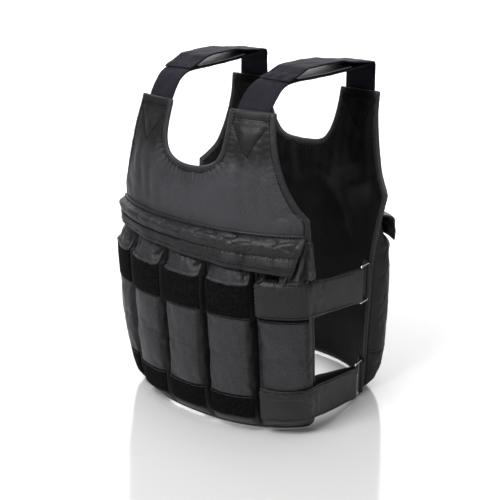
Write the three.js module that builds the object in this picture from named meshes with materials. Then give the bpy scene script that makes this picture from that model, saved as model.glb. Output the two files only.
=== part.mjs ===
// An adjustable weighted vest: a front panel and a back panel, each with a row of
// pockets under a flap, joined over the shoulders by overlapping straps and at the
// sides by webbing that loops round metal rings.
// Millimetres, +Z up, the wearer faces -Y, +X is the wearer's left.
// The origin lies midway between the undersides of the two shoulder straps.
import * as THREE from 'three';

// Overall sizes
const BODY_HEIGHT = 452; // hem to the top edge of the shoulder tabs
const FRONT_HALF = 185; // front panel, centre line to side edge, along the cloth
const BACK_HALF = 180; // back panel, centre line to side edge, along the cloth
const BODY_DEPTH = 257; // between the two panels' centre lines at pocket height
const CROWN_RISE = 34; // tab top edge to the underside of the shoulder strap
const PANEL_THICKNESS = 6.4; // padded cloth
const EDGE_THICKNESS = 3.6; // bound edge of a panel
const EDGE_TAPER = 16; // width over which the padding thins out to the edge
const CLEARANCE = 0.3; // between any two pieces that touch

// Neck and arm openings
const FRONT_NECK_DROP = 81; // tab top to the lowest point of the neckline
const BACK_NECK_DROP = 88;
const FRONT_ARM_DROP = 137; // tab top to the front armpit corner
const BACK_ARM_DROP = 139;
const FRONT_ARMPIT_INSET = 6.5; // the side edge draws in by this much at the armpit
const BACK_ARMPIT_FLARE = 5; // the back's side edge widens by this much there
const FRONT_TAB_INNER = 53; // along the cloth from the centre line
const FRONT_TAB_WIDTH = 67;
const BACK_TAB_INNER = 70;
const BACK_TAB_WIDTH = 67;
const HEM_CORNER = 12; // radius of the hem corners

// Pockets, their bands and the flaps
const POCKETS = 5;
const POCKET_HEIGHT = 248;
const POCKET_FOOT = 6; // hem to the bottom of the pockets
const FRONT_POCKET_DEPTH = 21;
const BACK_POCKET_DEPTH = 29;
const POCKET_WALL = 1.8;
const POCKET_FACE_SHARE = 0.78; // flat face as a share of the pocket pitch
const BAND_THICKNESS = 1.4;
const UPPER_BAND_TOP = 225; // above the hem
const UPPER_BAND_HEIGHT = 49.5;
const LOWER_BAND_TOP = 57;
const LOWER_BAND_HEIGHT = 37;
const FRONT_FLAP_TOP = 291; // above the hem
const BACK_FLAP_TOP = 281;
const FLAP_HEIGHT = 38;
const FRONT_FLAP_REACH = 10; // how far the free edge stands out from the panel
const BACK_FLAP_REACH = 27;
const FRONT_FLAP_INSET = 13; // panel's side edge to the flap's end, along the cloth
const BACK_FLAP_INSET = 8;
const FLAP_THICKNESS = 3.4;
const FLAP_WAVE = 2.2; // how far the flap swells over each pocket
const FOLD_COVER = 1.15; // a flap clears the panel's folds by this factor

// Straps, rings and ring tabs
const WEB_WIDTH = 50;
const WEB_THICKNESS = 1.8;
const STRAP_THICKNESS = 2.2; // shoulder straps
const STRAP_SEWN = 34; // length of shoulder strap sewn to a tab
const STRAP_ARCH = 13; // greatest gap between the two strap layers
const STRAP_OVERLAP = 0.175; // where the upper layer begins, from front tab to back
const STRAP_FRONT_SHARE = 0.48; // strap's middle across the front tab
const STRAP_BACK_SHARE = 0.44; // strap's middle across the back tab
const HOOK_WIDTH = 40;
const HOOK_THICKNESS = 0.9;
const WIRE = 3.2;
const RING_SPAN = 22; // between the two long bars, centre to centre
const RING_SLACK = 3.2; // ring's inner length beyond the webbing's width
const RING_TAB_REACH = 9; // back panel's edge to the ring's rear bar
const RING_TAB_SEWN = 18;
const UPPER_RING_Z = 187; // centre above the hem
const LOWER_RING_Z = 26;
const WEB_RISE = 21; // the webbing climbs this much from ring to pocket
const WEB_OVERHANG = 4; // free end beyond the pocket's face
const UPPER_SEWN_Z = 196; // where the webbing is sewn inside the front panel
const LOWER_SEWN_Z = 52;

// Form of the two panels. at: share of the body height. turn: heading of the cloth
// at the side edge in degrees. bow: how far the centre line lies from the middle of
// the vest, as a share of the body depth. wide: share of the panel's half width.
const FRONT_FORM = [
  { at: 0.0, turn: 57.9, bow: 0.447, wide: 1.0 },
  { at: 0.265, turn: 48.9, bow: 0.4615, wide: 1.0 },
  { at: 0.53, turn: 44.3, bow: 0.4868, wide: 1.0 },
  { at: 0.774, turn: 38.1, bow: 0.466, wide: 1.0 },
  { at: 0.89, turn: 33.5, bow: 0.436, wide: 1.0 },
  { at: 1.0, turn: 28.5, bow: 0.3755, wide: 1.0 },
];
const BACK_FORM = [
  { at: 0.0, turn: 64.0, bow: 0.672, wide: 0.99 },
  { at: 0.265, turn: 50.4, bow: 0.586, wide: 1.0 },
  { at: 0.53, turn: 37.6, bow: 0.5309, wide: 1.0 },
  { at: 0.774, turn: 22.6, bow: 0.55, wide: 1.0 },
  { at: 1.0, turn: 4.2, bow: 0.5432, wide: 1.0 },
];
const TURN_POWER = 1.4; // how late along the cloth the turn comes

// Neckline, from its lowest point to the tab. across: share of the tab's inner edge,
// up: share of the neck drop.
const FRONT_NECK = [
  { across: 0.0, up: 0.0 },
  { across: 0.32, up: 0.018 },
  { across: 0.6, up: 0.07 },
  { across: 0.83, up: 0.17 },
  { across: 0.95, up: 0.31 },
  { across: 1.0, up: 0.49 },
  { across: 1.01, up: 0.7 },
  { across: 1.0, up: 1.0 },
];
const BACK_NECK = [
  { across: 0.0, up: 0.0 },
  { across: 0.3, up: 0.012 },
  { across: 0.52, up: 0.06 },
  { across: 0.67, up: 0.17 },
  { across: 0.79, up: 0.34 },
  { across: 0.88, up: 0.54 },
  { across: 0.95, up: 0.76 },
  { across: 1.0, up: 1.0 },
];
// Armhole, from the armpit corner to the tab. across: share of the distance from
// tab to side edge, up: share of the arm drop.
const FRONT_ARM = [
  { across: 0.9, up: 0.0 },
  { across: 0.7, up: 0.1 },
  { across: 0.51, up: 0.24 },
  { across: 0.36, up: 0.38 },
  { across: 0.23, up: 0.54 },
  { across: 0.12, up: 0.72 },
  { across: 0.04, up: 0.88 },
  { across: 0.0, up: 1.0 },
];
const BACK_ARM = [
  { across: 1.1, up: 0.0 },
  { across: 0.8, up: 0.09 },
  { across: 0.52, up: 0.2 },
  { across: 0.34, up: 0.34 },
  { across: 0.2, up: 0.48 },
  { across: 0.07, up: 0.66 },
  { across: 0.0, up: 0.84 },
  { across: 0.0, up: 1.0 },
];
// Soft folds in the cloth of the panels. across and up: the fold's middle as shares
// of half width and body height. lean: degrees from upright. long and broad: shares
// of the body height. rise: height as a share of the panel thickness.
const FRONT_FOLDS = [
  { across: 0.36, up: 0.79, lean: 9, long: 0.13, broad: 0.05, rise: 0.3 },
  { across: 0.52, up: 0.72, lean: -6, long: 0.12, broad: 0.05, rise: -0.3 },
  { across: 0.18, up: 0.71, lean: 3, long: 0.08, broad: 0.05, rise: 0.25 },
  { across: 0.8, up: 0.68, lean: -38, long: 0.1, broad: 0.045, rise: 0.25 },
];
const BACK_FOLDS = [
  { across: 0.44, up: 0.72, lean: 62, long: 0.14, broad: 0.045, rise: -0.5 },
  { across: 0.7, up: 0.66, lean: 52, long: 0.13, broad: 0.045, rise: -0.5 },
  { across: 0.2, up: 0.68, lean: 12, long: 0.1, broad: 0.05, rise: 0.3 },
  { across: 0.62, up: 0.8, lean: 8, long: 0.08, broad: 0.05, rise: 0.25 },
];
// Section of a pocket, from seam to middle. face: share of the half face,
// side: share of the gusset left between face and seam, out: share of the depth.
const POCKET_SECTION = [
  { face: 1.0, side: 1.0, out: 0.0 },
  { face: 1.0, side: 0.56, out: 0.55 },
  { face: 1.0, side: 0.0, out: 0.88 },
  { face: 0.62, side: 0.0, out: 0.97 },
  { face: 0.0, side: 0.0, out: 1.0 },
];
// Upright form of a pocket. at: share of the pocket height, deep: share of the
// depth, face: share of the face width.
const FRONT_POCKET_FORM = [
  { at: 0.0, deep: 0.14, face: 0.96 },
  { at: 0.026, deep: 0.44, face: 0.98 },
  { at: 0.0565, deep: 0.65, face: 1.0 },
  { at: 0.125, deep: 0.82, face: 1.0 },
  { at: 0.21, deep: 0.9, face: 1.0 },
  { at: 0.45, deep: 1.03, face: 0.97 },
  { at: 0.69, deep: 1.0, face: 0.99 },
  { at: 0.88, deep: 0.93, face: 0.99 },
  { at: 0.94, deep: 0.74, face: 0.82 },
  { at: 1.0, deep: 0.42, face: 0.7 },
];
const BACK_POCKET_FORM = [
  { at: 0.0, deep: 0.14, face: 0.96 },
  { at: 0.04, deep: 0.5, face: 0.98 },
  { at: 0.122, deep: 0.78, face: 1.0 },
  { at: 0.24, deep: 0.9, face: 1.0 },
  { at: 0.5, deep: 1.04, face: 0.97 },
  { at: 0.76, deep: 1.08, face: 1.0 },
  { at: 0.9, deep: 1.0, face: 0.92 },
  { at: 1.0, deep: 0.5, face: 0.74 },
];
// Upright profile of a flap. down: share of its height, out: share of its reach.
// Its first two rows are the edge sewn flat to the panel.
const FLAP_FORM = [
  { down: -0.1, out: 0.0 },
  { down: 0.0, out: 0.03 },
  { down: 0.07, out: 0.42 },
  { down: 0.2, out: 0.78 },
  { down: 0.46, out: 0.9 },
  { down: 0.76, out: 1.0 },
  { down: 1.0, out: 1.0 },
];
// Course of a shoulder strap from front tab to back tab. back: share of the way
// from tab to tab, up: share of the crown rise.
const STRAP_COURSE = [
  { back: 0.0, up: 0.0 },
  { back: 0.045, up: 0.42 },
  { back: 0.105, up: 0.8 },
  { back: 0.19, up: 0.98 },
  { back: 0.34, up: 1.0 },
  { back: 0.5, up: 1.01 },
  { back: 0.66, up: 1.05 },
  { back: 0.8, up: 1.1 },
  { back: 0.93, up: 1.16 },
];
// Gap between the strap layers. at: share of the overlap from front to back,
// gap: share of the arch.
const STRAP_GAP = [
  { at: 0.0, gap: 0.0 },
  { at: 0.1, gap: 0.34 },
  { at: 0.24, gap: 0.9 },
  { at: 0.42, gap: 1.0 },
  { at: 0.62, gap: 0.9 },
  { at: 0.82, gap: 0.42 },
  { at: 1.0, gap: 0.02 },
];

// Colours and surfaces
const FINISH = {
  cloth: { color: '#232428', roughness: 0.72, metalness: 0.0 },
  band: { color: '#1b1b1d', roughness: 0.95, metalness: 0.0 },
  webbing: { color: '#2a2a2f', roughness: 0.62, metalness: 0.0 },
  hook: { color: '#8d8f96', roughness: 0.5, metalness: 0.0 },
  chrome: { color: '#d9dbde', roughness: 0.14, metalness: 1.0 },
};

// A smooth curve without overshoot through one column of a table.
function curve(rows, key, value) {
  const x = rows.map((row) => row[key]);
  const y = rows.map((row) => row[value]);
  const last = x.length - 1;
  const slope = x.slice(1).map((at, i) => (y[i + 1] - y[i]) / (at - x[i]));
  const tangent = x.map((at, i) => {
    if (i === 0) return slope[0];
    if (i === last) return slope[last - 1];
    if (slope[i - 1] * slope[i] <= 0) return 0;
    return (2 * slope[i - 1] * slope[i]) / (slope[i - 1] + slope[i]);
  });
  return (at) => {
    if (at <= x[0]) return y[0] + tangent[0] * (at - x[0]);
    if (at >= x[last]) return y[last] + tangent[last] * (at - x[last]);
    let i = 0;
    while (at > x[i + 1]) i += 1;
    const h = x[i + 1] - x[i];
    const t = (at - x[i]) / h;
    const a = (1 + 2 * t) * (1 - t) * (1 - t);
    const b = t * (1 - t) * (1 - t);
    const c = t * t * (3 - 2 * t);
    const d = t * t * (t - 1);
    return a * y[i] + b * h * tangent[i] + c * y[i + 1] + d * h * tangent[i + 1];
  };
}

// A table's rows taken evenly as a curve over 0 to 1.
function course(rows, value) {
  const even = rows.map((row, i) => ({ t: i / (rows.length - 1), v: row[value] }));
  return curve(even, 't', 'v');
}

// One panel's form: where a point of the cloth lies in space.
class Panel {
  constructor(side, half, form, folds) {
    this.side = side;
    this.half = half;
    this.turn = curve(form, 'at', 'turn');
    this.bow = curve(form, 'at', 'bow');
    this.wide = curve(form, 'at', 'wide');
    this.folds = folds;
    this.sections = new Map();
  }

  // The cloth's level line at one height, as evenly spaced points and headings.
  section(z) {
    const key = Math.round(z * 1000);
    if (!this.sections.has(key)) {
      const at = z / BODY_HEIGHT;
      const turn = THREE.MathUtils.degToRad(this.turn(at));
      const steps = 120;
      const step = (this.half * 1.3) / steps;
      const line = [{ x: 0, drop: 0, heading: 0 }];
      for (let i = 1; i <= steps; i += 1) {
        const middle = turn * Math.pow(((i - 0.5) * step) / this.half, TURN_POWER);
        const heading = turn * Math.pow((i * step) / this.half, TURN_POWER);
        const from = line[i - 1];
        line.push({
          x: from.x + Math.cos(middle) * step,
          drop: from.drop + Math.sin(middle) * step,
          heading,
        });
      }
      this.sections.set(key, { line, step, bow: this.bow(at) * BODY_DEPTH, wide: this.wide(at) });
    }
    return this.sections.get(key);
  }

  // A point u along the cloth from the centre line, at height z, off its middle
  // surface by the given distance towards the outside.
  point(u, z, off = 0) {
    const { line, step, bow, wide } = this.section(z);
    const s = Math.min((Math.abs(u) * wide) / step, line.length - 1.001);
    const i = Math.floor(s);
    const t = s - i;
    const mix = (name) => line[i][name] * (1 - t) + line[i + 1][name] * t;
    const heading = mix('heading');
    const x = Math.sign(u) * (mix('x') + Math.sin(heading) * off);
    const y = mix('drop') - Math.cos(heading) * off - bow;
    return new THREE.Vector3(x, this.side * y * -1, z);
  }

  // Height of the soft folds at a point of the cloth.
  fold(u, z) {
    let sum = 0;
    for (const f of this.folds) {
      const dx = Math.abs(u) - f.across * this.half;
      const dz = z - f.up * BODY_HEIGHT;
      const lean = THREE.MathUtils.degToRad(f.lean);
      const along = (dz * Math.cos(lean) + dx * Math.sin(lean)) / (f.long * BODY_HEIGHT);
      const across = (dx * Math.cos(lean) - dz * Math.sin(lean)) / (f.broad * BODY_HEIGHT);
      sum += f.rise * PANEL_THICKNESS * Math.exp(-along * along - across * across);
    }
    return sum;
  }
}

// The front's side is -1 and the back's is +1: its outside faces that way along Y.
const FRONT = new Panel(-1, FRONT_HALF, FRONT_FORM, FRONT_FOLDS);
const BACK = new Panel(1, BACK_HALF, BACK_FORM, BACK_FOLDS);

// A closed body from a surface of triangles and its two sets of points: the open
// edges of the surface are joined by walls.
function closedBody(name, finish, outer, inner, faces) {
  const edges = new Map();
  for (const [a, b, c] of faces) {
    for (const [p, q] of [[a, b], [b, c], [c, a]]) {
      const back = `${q}_${p}`;
      if (edges.has(back)) edges.delete(back);
      else edges.set(`${p}_${q}`, [p, q]);
    }
  }
  const count = outer.length;
  const index = [];
  for (const [a, b, c] of faces) {
    index.push([a, b, c], [a + count, c + count, b + count]);
  }
  for (const [p, q] of edges.values()) {
    index.push([p, p + count, q + count], [p, q + count, q]);
  }
  const points = [...outer, ...inner];
  let volume = 0;
  const cross = new THREE.Vector3();
  for (const [a, b, c] of index) {
    volume += points[a].dot(cross.crossVectors(points[b], points[c]));
  }
  const turned = volume < 0 ? index.map(([a, b, c]) => [a, c, b]) : index;
  const geometry = new THREE.BufferGeometry();
  const flat = points.flatMap((p) => [p.x, p.y, p.z]);
  geometry.setAttribute('position', new THREE.Float32BufferAttribute(flat, 3));
  geometry.setIndex(turned.flat());
  geometry.computeVertexNormals();
  const mesh = new THREE.Mesh(geometry, new THREE.MeshStandardMaterial(FINISH[finish]));
  mesh.name = name;
  return mesh;
}

// The triangles of a grid of points, row by row. Each four-sided field is split
// along its shorter diagonal where the points are given.
function gridFaces(rows, columns, points) {
  const faces = [];
  for (let i = 0; i + 1 < rows; i += 1) {
    for (let j = 0; j + 1 < columns; j += 1) {
      const a = i * columns + j;
      const b = a + 1;
      const c = a + columns;
      const turned = points && points[b].distanceTo(points[c]) < points[a].distanceTo(points[c + 1]);
      if (turned) faces.push([a, b, c], [b, c + 1, c]);
      else faces.push([a, b, c + 1], [a, c + 1, c]);
    }
  }
  return faces;
}

// A closed body between two grids of points of the same size.
function betweenGrids(name, finish, outer, inner) {
  const faces = gridFaces(outer.length, outer[0].length);
  return closedBody(name, finish, outer.flat(), inner.flat(), faces);
}

// A closed sheet of even thickness about a grid of points on its middle surface.
function sheet(name, finish, middle, thickness) {
  const rows = middle.length;
  const columns = middle[0].length;
  const shifted = (sign) => middle.map((row, i) => row.map((point, j) => {
    const across = new THREE.Vector3().subVectors(
      middle[i][Math.min(j + 1, columns - 1)],
      middle[i][Math.max(j - 1, 0)],
    );
    const along = new THREE.Vector3().subVectors(
      middle[Math.min(i + 1, rows - 1)][j],
      middle[Math.max(i - 1, 0)][j],
    );
    const normal = along.cross(across).normalize();
    return point.clone().addScaledVector(normal, (sign * thickness) / 2);
  }));
  return betweenGrids(name, finish, shifted(1), shifted(-1));
}

// Distance from a point to a chain of segments in the plane of the cloth.
function distanceTo(chain, u, z) {
  let best = Infinity;
  for (let i = 0; i + 1 < chain.length; i += 1) {
    const [au, az] = chain[i];
    const [bu, bz] = chain[i + 1];
    const lu = bu - au;
    const lz = bz - az;
    const size = lu * lu + lz * lz || 1;
    const t = Math.min(1, Math.max(0, ((u - au) * lu + (z - az) * lz) / size));
    best = Math.min(best, Math.hypot(u - au - lu * t, z - az - lz * t));
  }
  return best;
}

// A padded panel: two mirrored halves that share the centre line up to the neck.
function panelBody(name, panel, cut) {
  const half = panel.half;
  const armpit = BODY_HEIGHT - cut.armDrop;
  const neck = BODY_HEIGHT - cut.neckDrop;
  const neckU = course(cut.neck, 'across');
  const neckZ = course(cut.neck, 'up');
  const armU = course(cut.arm, 'across');
  const armZ = course(cut.arm, 'up');
  const tabOuter = cut.tabInner + cut.tabWidth;
  const left = [];
  const right = [];
  // Hem with its rounded corner, then the side edge.
  for (const turn of [0, 30, 60, 90]) {
    const a = THREE.MathUtils.degToRad(turn);
    const z = HEM_CORNER * (1 - Math.cos(a));
    right.push([half - HEM_CORNER * (1 - Math.sin(a)), z]);
    left.push([0, z]);
  }
  for (const share of [0.12, 0.25, 0.38, 0.51, 0.64, 0.77, 0.87, 0.95]) {
    const inset = cut.armpitInset * Math.max(0, (share - 0.77) / 0.23);
    right.push([half - inset, HEM_CORNER + (armpit - HEM_CORNER) * share]);
    left.push([0, HEM_CORNER + (neck - HEM_CORNER) * share * 0.93]);
  }
  // Armhole against the centre line, then against the neckline.
  const armSteps = 12;
  const neckFrom = 2;
  for (let i = 0; i <= armSteps; i += 1) {
    const t = i / armSteps;
    right.push([tabOuter + (half - tabOuter) * armU(t), armpit + cut.armDrop * armZ(t)]);
    if (i < neckFrom) {
      left.push([0, neck - (neck - HEM_CORNER) * 0.07 * (1 - (i + 1) / (neckFrom + 1)) * 1.2]);
    } else {
      const s = (i - neckFrom) / (armSteps - neckFrom);
      left.push([cut.tabInner * neckU(s), neck + cut.neckDrop * neckZ(s)]);
    }
  }
  const neckRow = left.length - 1 - (armSteps - neckFrom);
  const across = [0, 0.09, 0.24, 0.41, 0.59, 0.77, 0.92, 1];
  const hem = [[0, 0], ...right];
  const opening = left.slice(neckRow);
  const top = [left[left.length - 1], right[right.length - 1]];
  const columns = across.length;
  const outer = [];
  const inner = [];
  const faces = [];
  for (const sign of [1, -1]) {
    const start = outer.length;
    for (let i = 0; i < left.length; i += 1) {
      for (let j = 0; j < columns; j += 1) {
        const u = left[i][0] + (right[i][0] - left[i][0]) * across[j];
        const z = left[i][1] + (right[i][1] - left[i][1]) * across[j];
        const gap = Math.min(distanceTo(hem, u, z), distanceTo(opening, u, z), distanceTo(top, u, z));
        const t = Math.min(1, gap / EDGE_TAPER);
        const swell = t * (2 - t);
        const thick = EDGE_THICKNESS + (PANEL_THICKNESS - EDGE_THICKNESS) * swell;
        const fold = panel.fold(u, z) * swell;
        outer.push(panel.point(sign * u, z, fold + thick / 2));
        inner.push(panel.point(sign * u, z, fold - thick / 2));
      }
    }
    for (const face of gridFaces(left.length, columns, outer.slice(start))) {
      const [a, b, c] = face.map((at) => at + start);
      faces.push(sign > 0 ? [a, b, c] : [a, c, b]);
    }
  }
  // Both halves use the same points along the centre line below the neck.
  const size = left.length * columns;
  const shared = (at) => {
    const row = Math.floor((at - size) / columns);
    const onCentre = at >= size && (at - size) % columns === 0 && row <= neckRow;
    return onCentre ? at - size : at;
  };
  const welded = faces.map((face) => face.map(shared));
  const used = [...new Set(welded.flat())].sort((a, b) => a - b);
  const place = new Map(used.map((at, i) => [at, i]));
  return closedBody(
    name,
    'cloth',
    used.map((at) => outer[at]),
    used.map((at) => inner[at]),
    welded.map((face) => face.map((at) => place.get(at))),
  );
}

// Where the underside of a piece lies that rests on a panel's outside.
const REST = PANEL_THICKNESS / 2 + CLEARANCE + 0.5;
const FRONT_PITCH = (2 * FRONT_HALF - 4) / POCKETS;
const BACK_PITCH = (2 * BACK_HALF - 4) / POCKETS;

// One pocket of a panel: its section and upright form.
class Pocket {
  constructor(panel, pitch, depth, form, place) {
    this.panel = panel;
    this.depth = depth;
    this.middle = place * pitch;
    this.halfSeam = pitch / 2 - CLEARANCE;
    this.halfFace = (pitch * POCKET_FACE_SHARE) / 2;
    this.form = form;
    this.deep = curve(form, 'at', 'deep');
    this.face = curve(form, 'at', 'face');
  }

  // The section at a height as [along the cloth, out] pairs from seam to seam.
  section(z, inset) {
    const at = (z - POCKET_FOOT) / POCKET_HEIGHT;
    const face = this.halfFace * this.face(at) - inset;
    const gusset = this.halfSeam - inset - face;
    const deep = Math.max(this.depth * this.deep(at) - inset, CLEARANCE);
    const half = POCKET_SECTION.map((p) => [face * p.face + gusset * p.side, deep * p.out]);
    const mirrored = half.slice(0, -1).reverse();
    return [...half.map(([u, out]) => [-u, out]), ...mirrored];
  }

  // A point of the outside at a column of the section, lifted off it.
  point(column, z, lift = 0, inset = 0) {
    const line = this.section(z, inset);
    const last = line.length - 1;
    const before = line[Math.max(column - 1, 0)];
    const after = line[Math.min(column + 1, last)];
    const du = after[0] - before[0];
    const dout = after[1] - before[1];
    const size = Math.hypot(du, dout) || 1;
    const u = line[column][0] - (dout / size) * lift;
    const out = line[column][1] + (du / size) * lift;
    return this.panel.point(this.middle + u, z, REST + out);
  }

  // The heights where the pocket's surface has its rows.
  heights() {
    return this.form.map((row) => POCKET_FOOT + POCKET_HEIGHT * row.at);
  }

  // The heights of the rows between two heights, with the two themselves.
  heightsBetween(low, high) {
    const inside = this.heights().filter((z) => z > low + 2 && z < high - 2);
    return [low, ...inside, high];
  }

  body(name) {
    const columns = 2 * POCKET_SECTION.length - 1;
    const grid = (inset) => this.heights().map((z) => {
      const row = [];
      for (let j = 0; j < columns; j += 1) row.push(this.point(j, z, 0, inset));
      return row;
    });
    return betweenGrids(name, 'cloth', grid(0), grid(POCKET_WALL));
  }

  // A fabric band across the face of the pocket.
  band(name, top, height) {
    const lift = CLEARANCE + BAND_THICKNESS / 2 + 0.25;
    const rows = this.heightsBetween(top - height, top).map((z) => {
      const row = [];
      for (let j = 2; j <= 6; j += 1) row.push(this.point(j, z, lift));
      return row;
    });
    return sheet(name, 'band', rows, BAND_THICKNESS);
  }
}

// A flap over the mouths of a panel's pockets.
function flapBody(name, panel, pitch, top, reach, inset) {
  const half = panel.half - inset;
  const columns = 20;
  const rows = FLAP_FORM.map((p) => {
    const row = [];
    for (let j = 0; j <= columns; j += 1) {
      const u = half * ((2 * j) / columns - 1);
      const wave = 0.5 + 0.5 * Math.cos((2 * Math.PI * u) / pitch);
      const z = top - FLAP_HEIGHT * p.down;
      const out = p.out * (reach + wave * FLAP_WAVE) + Math.max(0, panel.fold(u, z)) * FOLD_COVER;
      row.push(panel.point(u, z, REST + FLAP_THICKNESS * 0.4 + out));
    }
    return row;
  });
  return sheet(name, 'cloth', rows, FLAP_THICKNESS);
}

// Points of a level path, turned into a strip of webbing: centre gives each
// station's height, and rows lie across the width.
function webbing(name, stations, width, thickness, shares = [-0.5, 0, 0.5]) {
  const rows = shares.map((share) => stations.map((s) => s.at(s.z + share * width)));
  return sheet(name, 'webbing', rows, thickness);
}

// A strap's turn round an upright bar, as level points: it comes from one point,
// goes round the far side and leaves towards another.
function roundBar(centre, radius, from, to, sense, steps) {
  const angleTo = (p) => Math.atan2(p.y - centre.y, p.x - centre.x);
  const open = (p) => Math.acos(Math.min(1, radius / Math.hypot(p.x - centre.x, p.y - centre.y)));
  const begin = angleTo(from) + sense * open(from);
  let end = angleTo(to) - sense * open(to);
  while (sense * (end - begin) <= 0) end += sense * 2 * Math.PI;
  const points = [];
  for (let i = 0; i <= steps; i += 1) {
    const angle = begin + ((end - begin) * i) / steps;
    const x = centre.x + Math.cos(angle) * radius;
    points.push(new THREE.Vector3(x, centre.y + Math.sin(angle) * radius, 0));
  }
  return points;
}

// A side strap, its ring and the tab that holds the ring, built on the wearer's left.
// Fastened: the free end lies over the outermost pocket. Otherwise it lies back along
// the sewn leg.
function sideSet(level, ringZ, sewZ, fastened) {
  const place = (POCKETS - 1) / 2;
  const bandMiddle = ringZ + WEB_RISE;
  const pocket = new Pocket(FRONT, FRONT_PITCH, FRONT_POCKET_DEPTH, FRONT_POCKET_FORM, place);
  const edge = BACK.point(BACK_HALF, ringZ);
  const lift = BAND_THICKNESS + 2 * CLEARANCE + WEB_THICKNESS / 2 + 0.9;
  const leave = pocket.point(6, bandMiddle, lift);
  const way = new THREE.Vector3(leave.x - edge.x, leave.y - edge.y, 0).normalize();
  const outward = new THREE.Vector3(-way.y, way.x, 0);
  const rear = edge.clone().setZ(0).addScaledVector(way, RING_TAB_REACH);
  const front = rear.clone().addScaledVector(way, RING_SPAN);
  const bend = WIRE / 2 + CLEARANCE + 0.15 + WEB_THICKNESS / 2;

  // From the free end, round the front bar, and back to the inside of the panel.
  const innerOff = -(PANEL_THICKNESS / 2 + CLEARANCE + 0.5 + WEB_THICKNESS / 2);
  const flatPoint = (p, z) => ({ z, at: (h) => new THREE.Vector3(p.x, p.y, h) });
  const sewn = [];
  for (const back of [1, 9, 17, 25]) {
    sewn.push({ z: sewZ, at: (h) => FRONT.point(FRONT_HALF - back, h, innerOff) });
  }
  const arrive = sewn[0].at(sewZ).setZ(0);
  const around = roundBar(front, bend, fastened ? leave : arrive, arrive, 1, 8);
  const stations = [];
  if (fastened) {
    const overhang = (h) => {
      const face = pocket.point(2, h, lift);
      const on = pocket.point(3, h, lift).sub(face).normalize();
      return face.addScaledVector(on, -WEB_OVERHANG);
    };
    stations.push({ z: bandMiddle, at: overhang });
    for (let j = 2; j <= 6; j += 1) {
      stations.push({ z: bandMiddle, at: (h) => pocket.point(j, h, lift) });
    }
    for (const share of [0.12, 0.34, 0.6, 0.85]) {
      const p = new THREE.Vector3().lerpVectors(leave.clone().setZ(0), around[0], share);
      stations.push(flatPoint(p, bandMiddle + (ringZ - bandMiddle) * share));
    }
  } else {
    const beside = new THREE.Vector3().subVectors(arrive, around[8]).normalize();
    const apart = new THREE.Vector3(-beside.y, beside.x, 0);
    for (const [share, gap] of [[0.8, 0.8], [0.6, 0.8], [0.4, 0.8], [0.22, 1.6]]) {
      const p = new THREE.Vector3().lerpVectors(around[8], arrive, share);
      p.addScaledVector(apart, WEB_THICKNESS + CLEARANCE + gap);
      stations.push(flatPoint(p, ringZ + (sewZ - ringZ) * share));
    }
  }
  for (const p of around) stations.push(flatPoint(p, ringZ));
  for (const share of [0.15, 0.4, 0.7, 0.92]) {
    const p = new THREE.Vector3().lerpVectors(around[8], arrive, share);
    stations.push(flatPoint(p, ringZ + (sewZ - ringZ) * share));
  }
  stations.push(...sewn);
  const across = fastened ? [-0.5, -0.1, 0.3, 0.5] : [-0.5, 0, 0.5];
  const strap = webbing(`side_strap_${level}_left`, stations, WEB_WIDTH, WEB_THICKNESS, across);

  // Rounded rectangle of wire in the plane of the two bars.
  const halfLong = (WEB_WIDTH + RING_SLACK + WIRE) / 2;
  const halfWide = RING_SPAN / 2;
  const corner = WIRE * 0.8;
  const centre = new THREE.Vector3().lerpVectors(rear, front, 0.5).setZ(ringZ);
  const path = [];
  for (const [sx, sz, begin] of [[1, 1, 0], [-1, 1, 90], [-1, -1, 180], [1, -1, 270]]) {
    for (const turn of [0, 45, 90]) {
      const a = THREE.MathUtils.degToRad(begin + turn);
      path.push([
        sx * (halfWide - corner) + corner * Math.cos(a),
        sz * (halfLong - corner) + corner * Math.sin(a),
        a,
      ]);
    }
  }
  const sides = 6;
  const points = [];
  for (const [along, up, a] of path) {
    for (let k = 0; k < sides; k += 1) {
      const b = (2 * Math.PI * k) / sides;
      const r = (WIRE / 2) * Math.cos(b);
      const w = (WIRE / 2) * Math.sin(b);
      const p = centre.clone().addScaledVector(way, along + r * Math.cos(a));
      p.addScaledVector(outward, w);
      p.z += up + r * Math.sin(a);
      points.push(p);
    }
  }
  const index = [];
  const count = path.length;
  for (let i = 0; i < count; i += 1) {
    for (let k = 0; k < sides; k += 1) {
      const a = i * sides + k;
      const b = i * sides + ((k + 1) % sides);
      const c = ((i + 1) % count) * sides + k;
      const d = ((i + 1) % count) * sides + ((k + 1) % sides);
      index.push([a, b, d], [a, d, c]);
    }
  }
  const ring = closedLoop(`side_ring_${level}_left`, 'chrome', points, index);

  // The tab: two legs on the back panel's inside and a turn round the rear bar.
  const near = -(PANEL_THICKNESS / 2 + CLEARANCE + 0.5 + WEB_THICKNESS / 2);
  const far = near - WEB_THICKNESS - CLEARANCE - 0.5;
  const tab = [];
  const leg = (back, off) => ({ z: ringZ, at: (h) => BACK.point(BACK_HALF - back, h, off) });
  for (const back of [RING_TAB_SEWN, RING_TAB_SEWN * 0.5, 0]) tab.push(leg(back, near));
  for (let i = 0; i <= 8; i += 1) {
    const turn = (h) => roundBar(rear, bend, tab[2].at(h), leg(0, far).at(h), -1, 8)[i].setZ(h);
    tab.push({ z: ringZ, at: turn });
  }
  for (const back of [0, RING_TAB_SEWN * 0.5, RING_TAB_SEWN]) tab.push(leg(back, far));
  const holder = webbing(`ring_tab_${level}_left`, tab, WEB_WIDTH, WEB_THICKNESS);
  return [strap, ring, holder];
}

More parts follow.
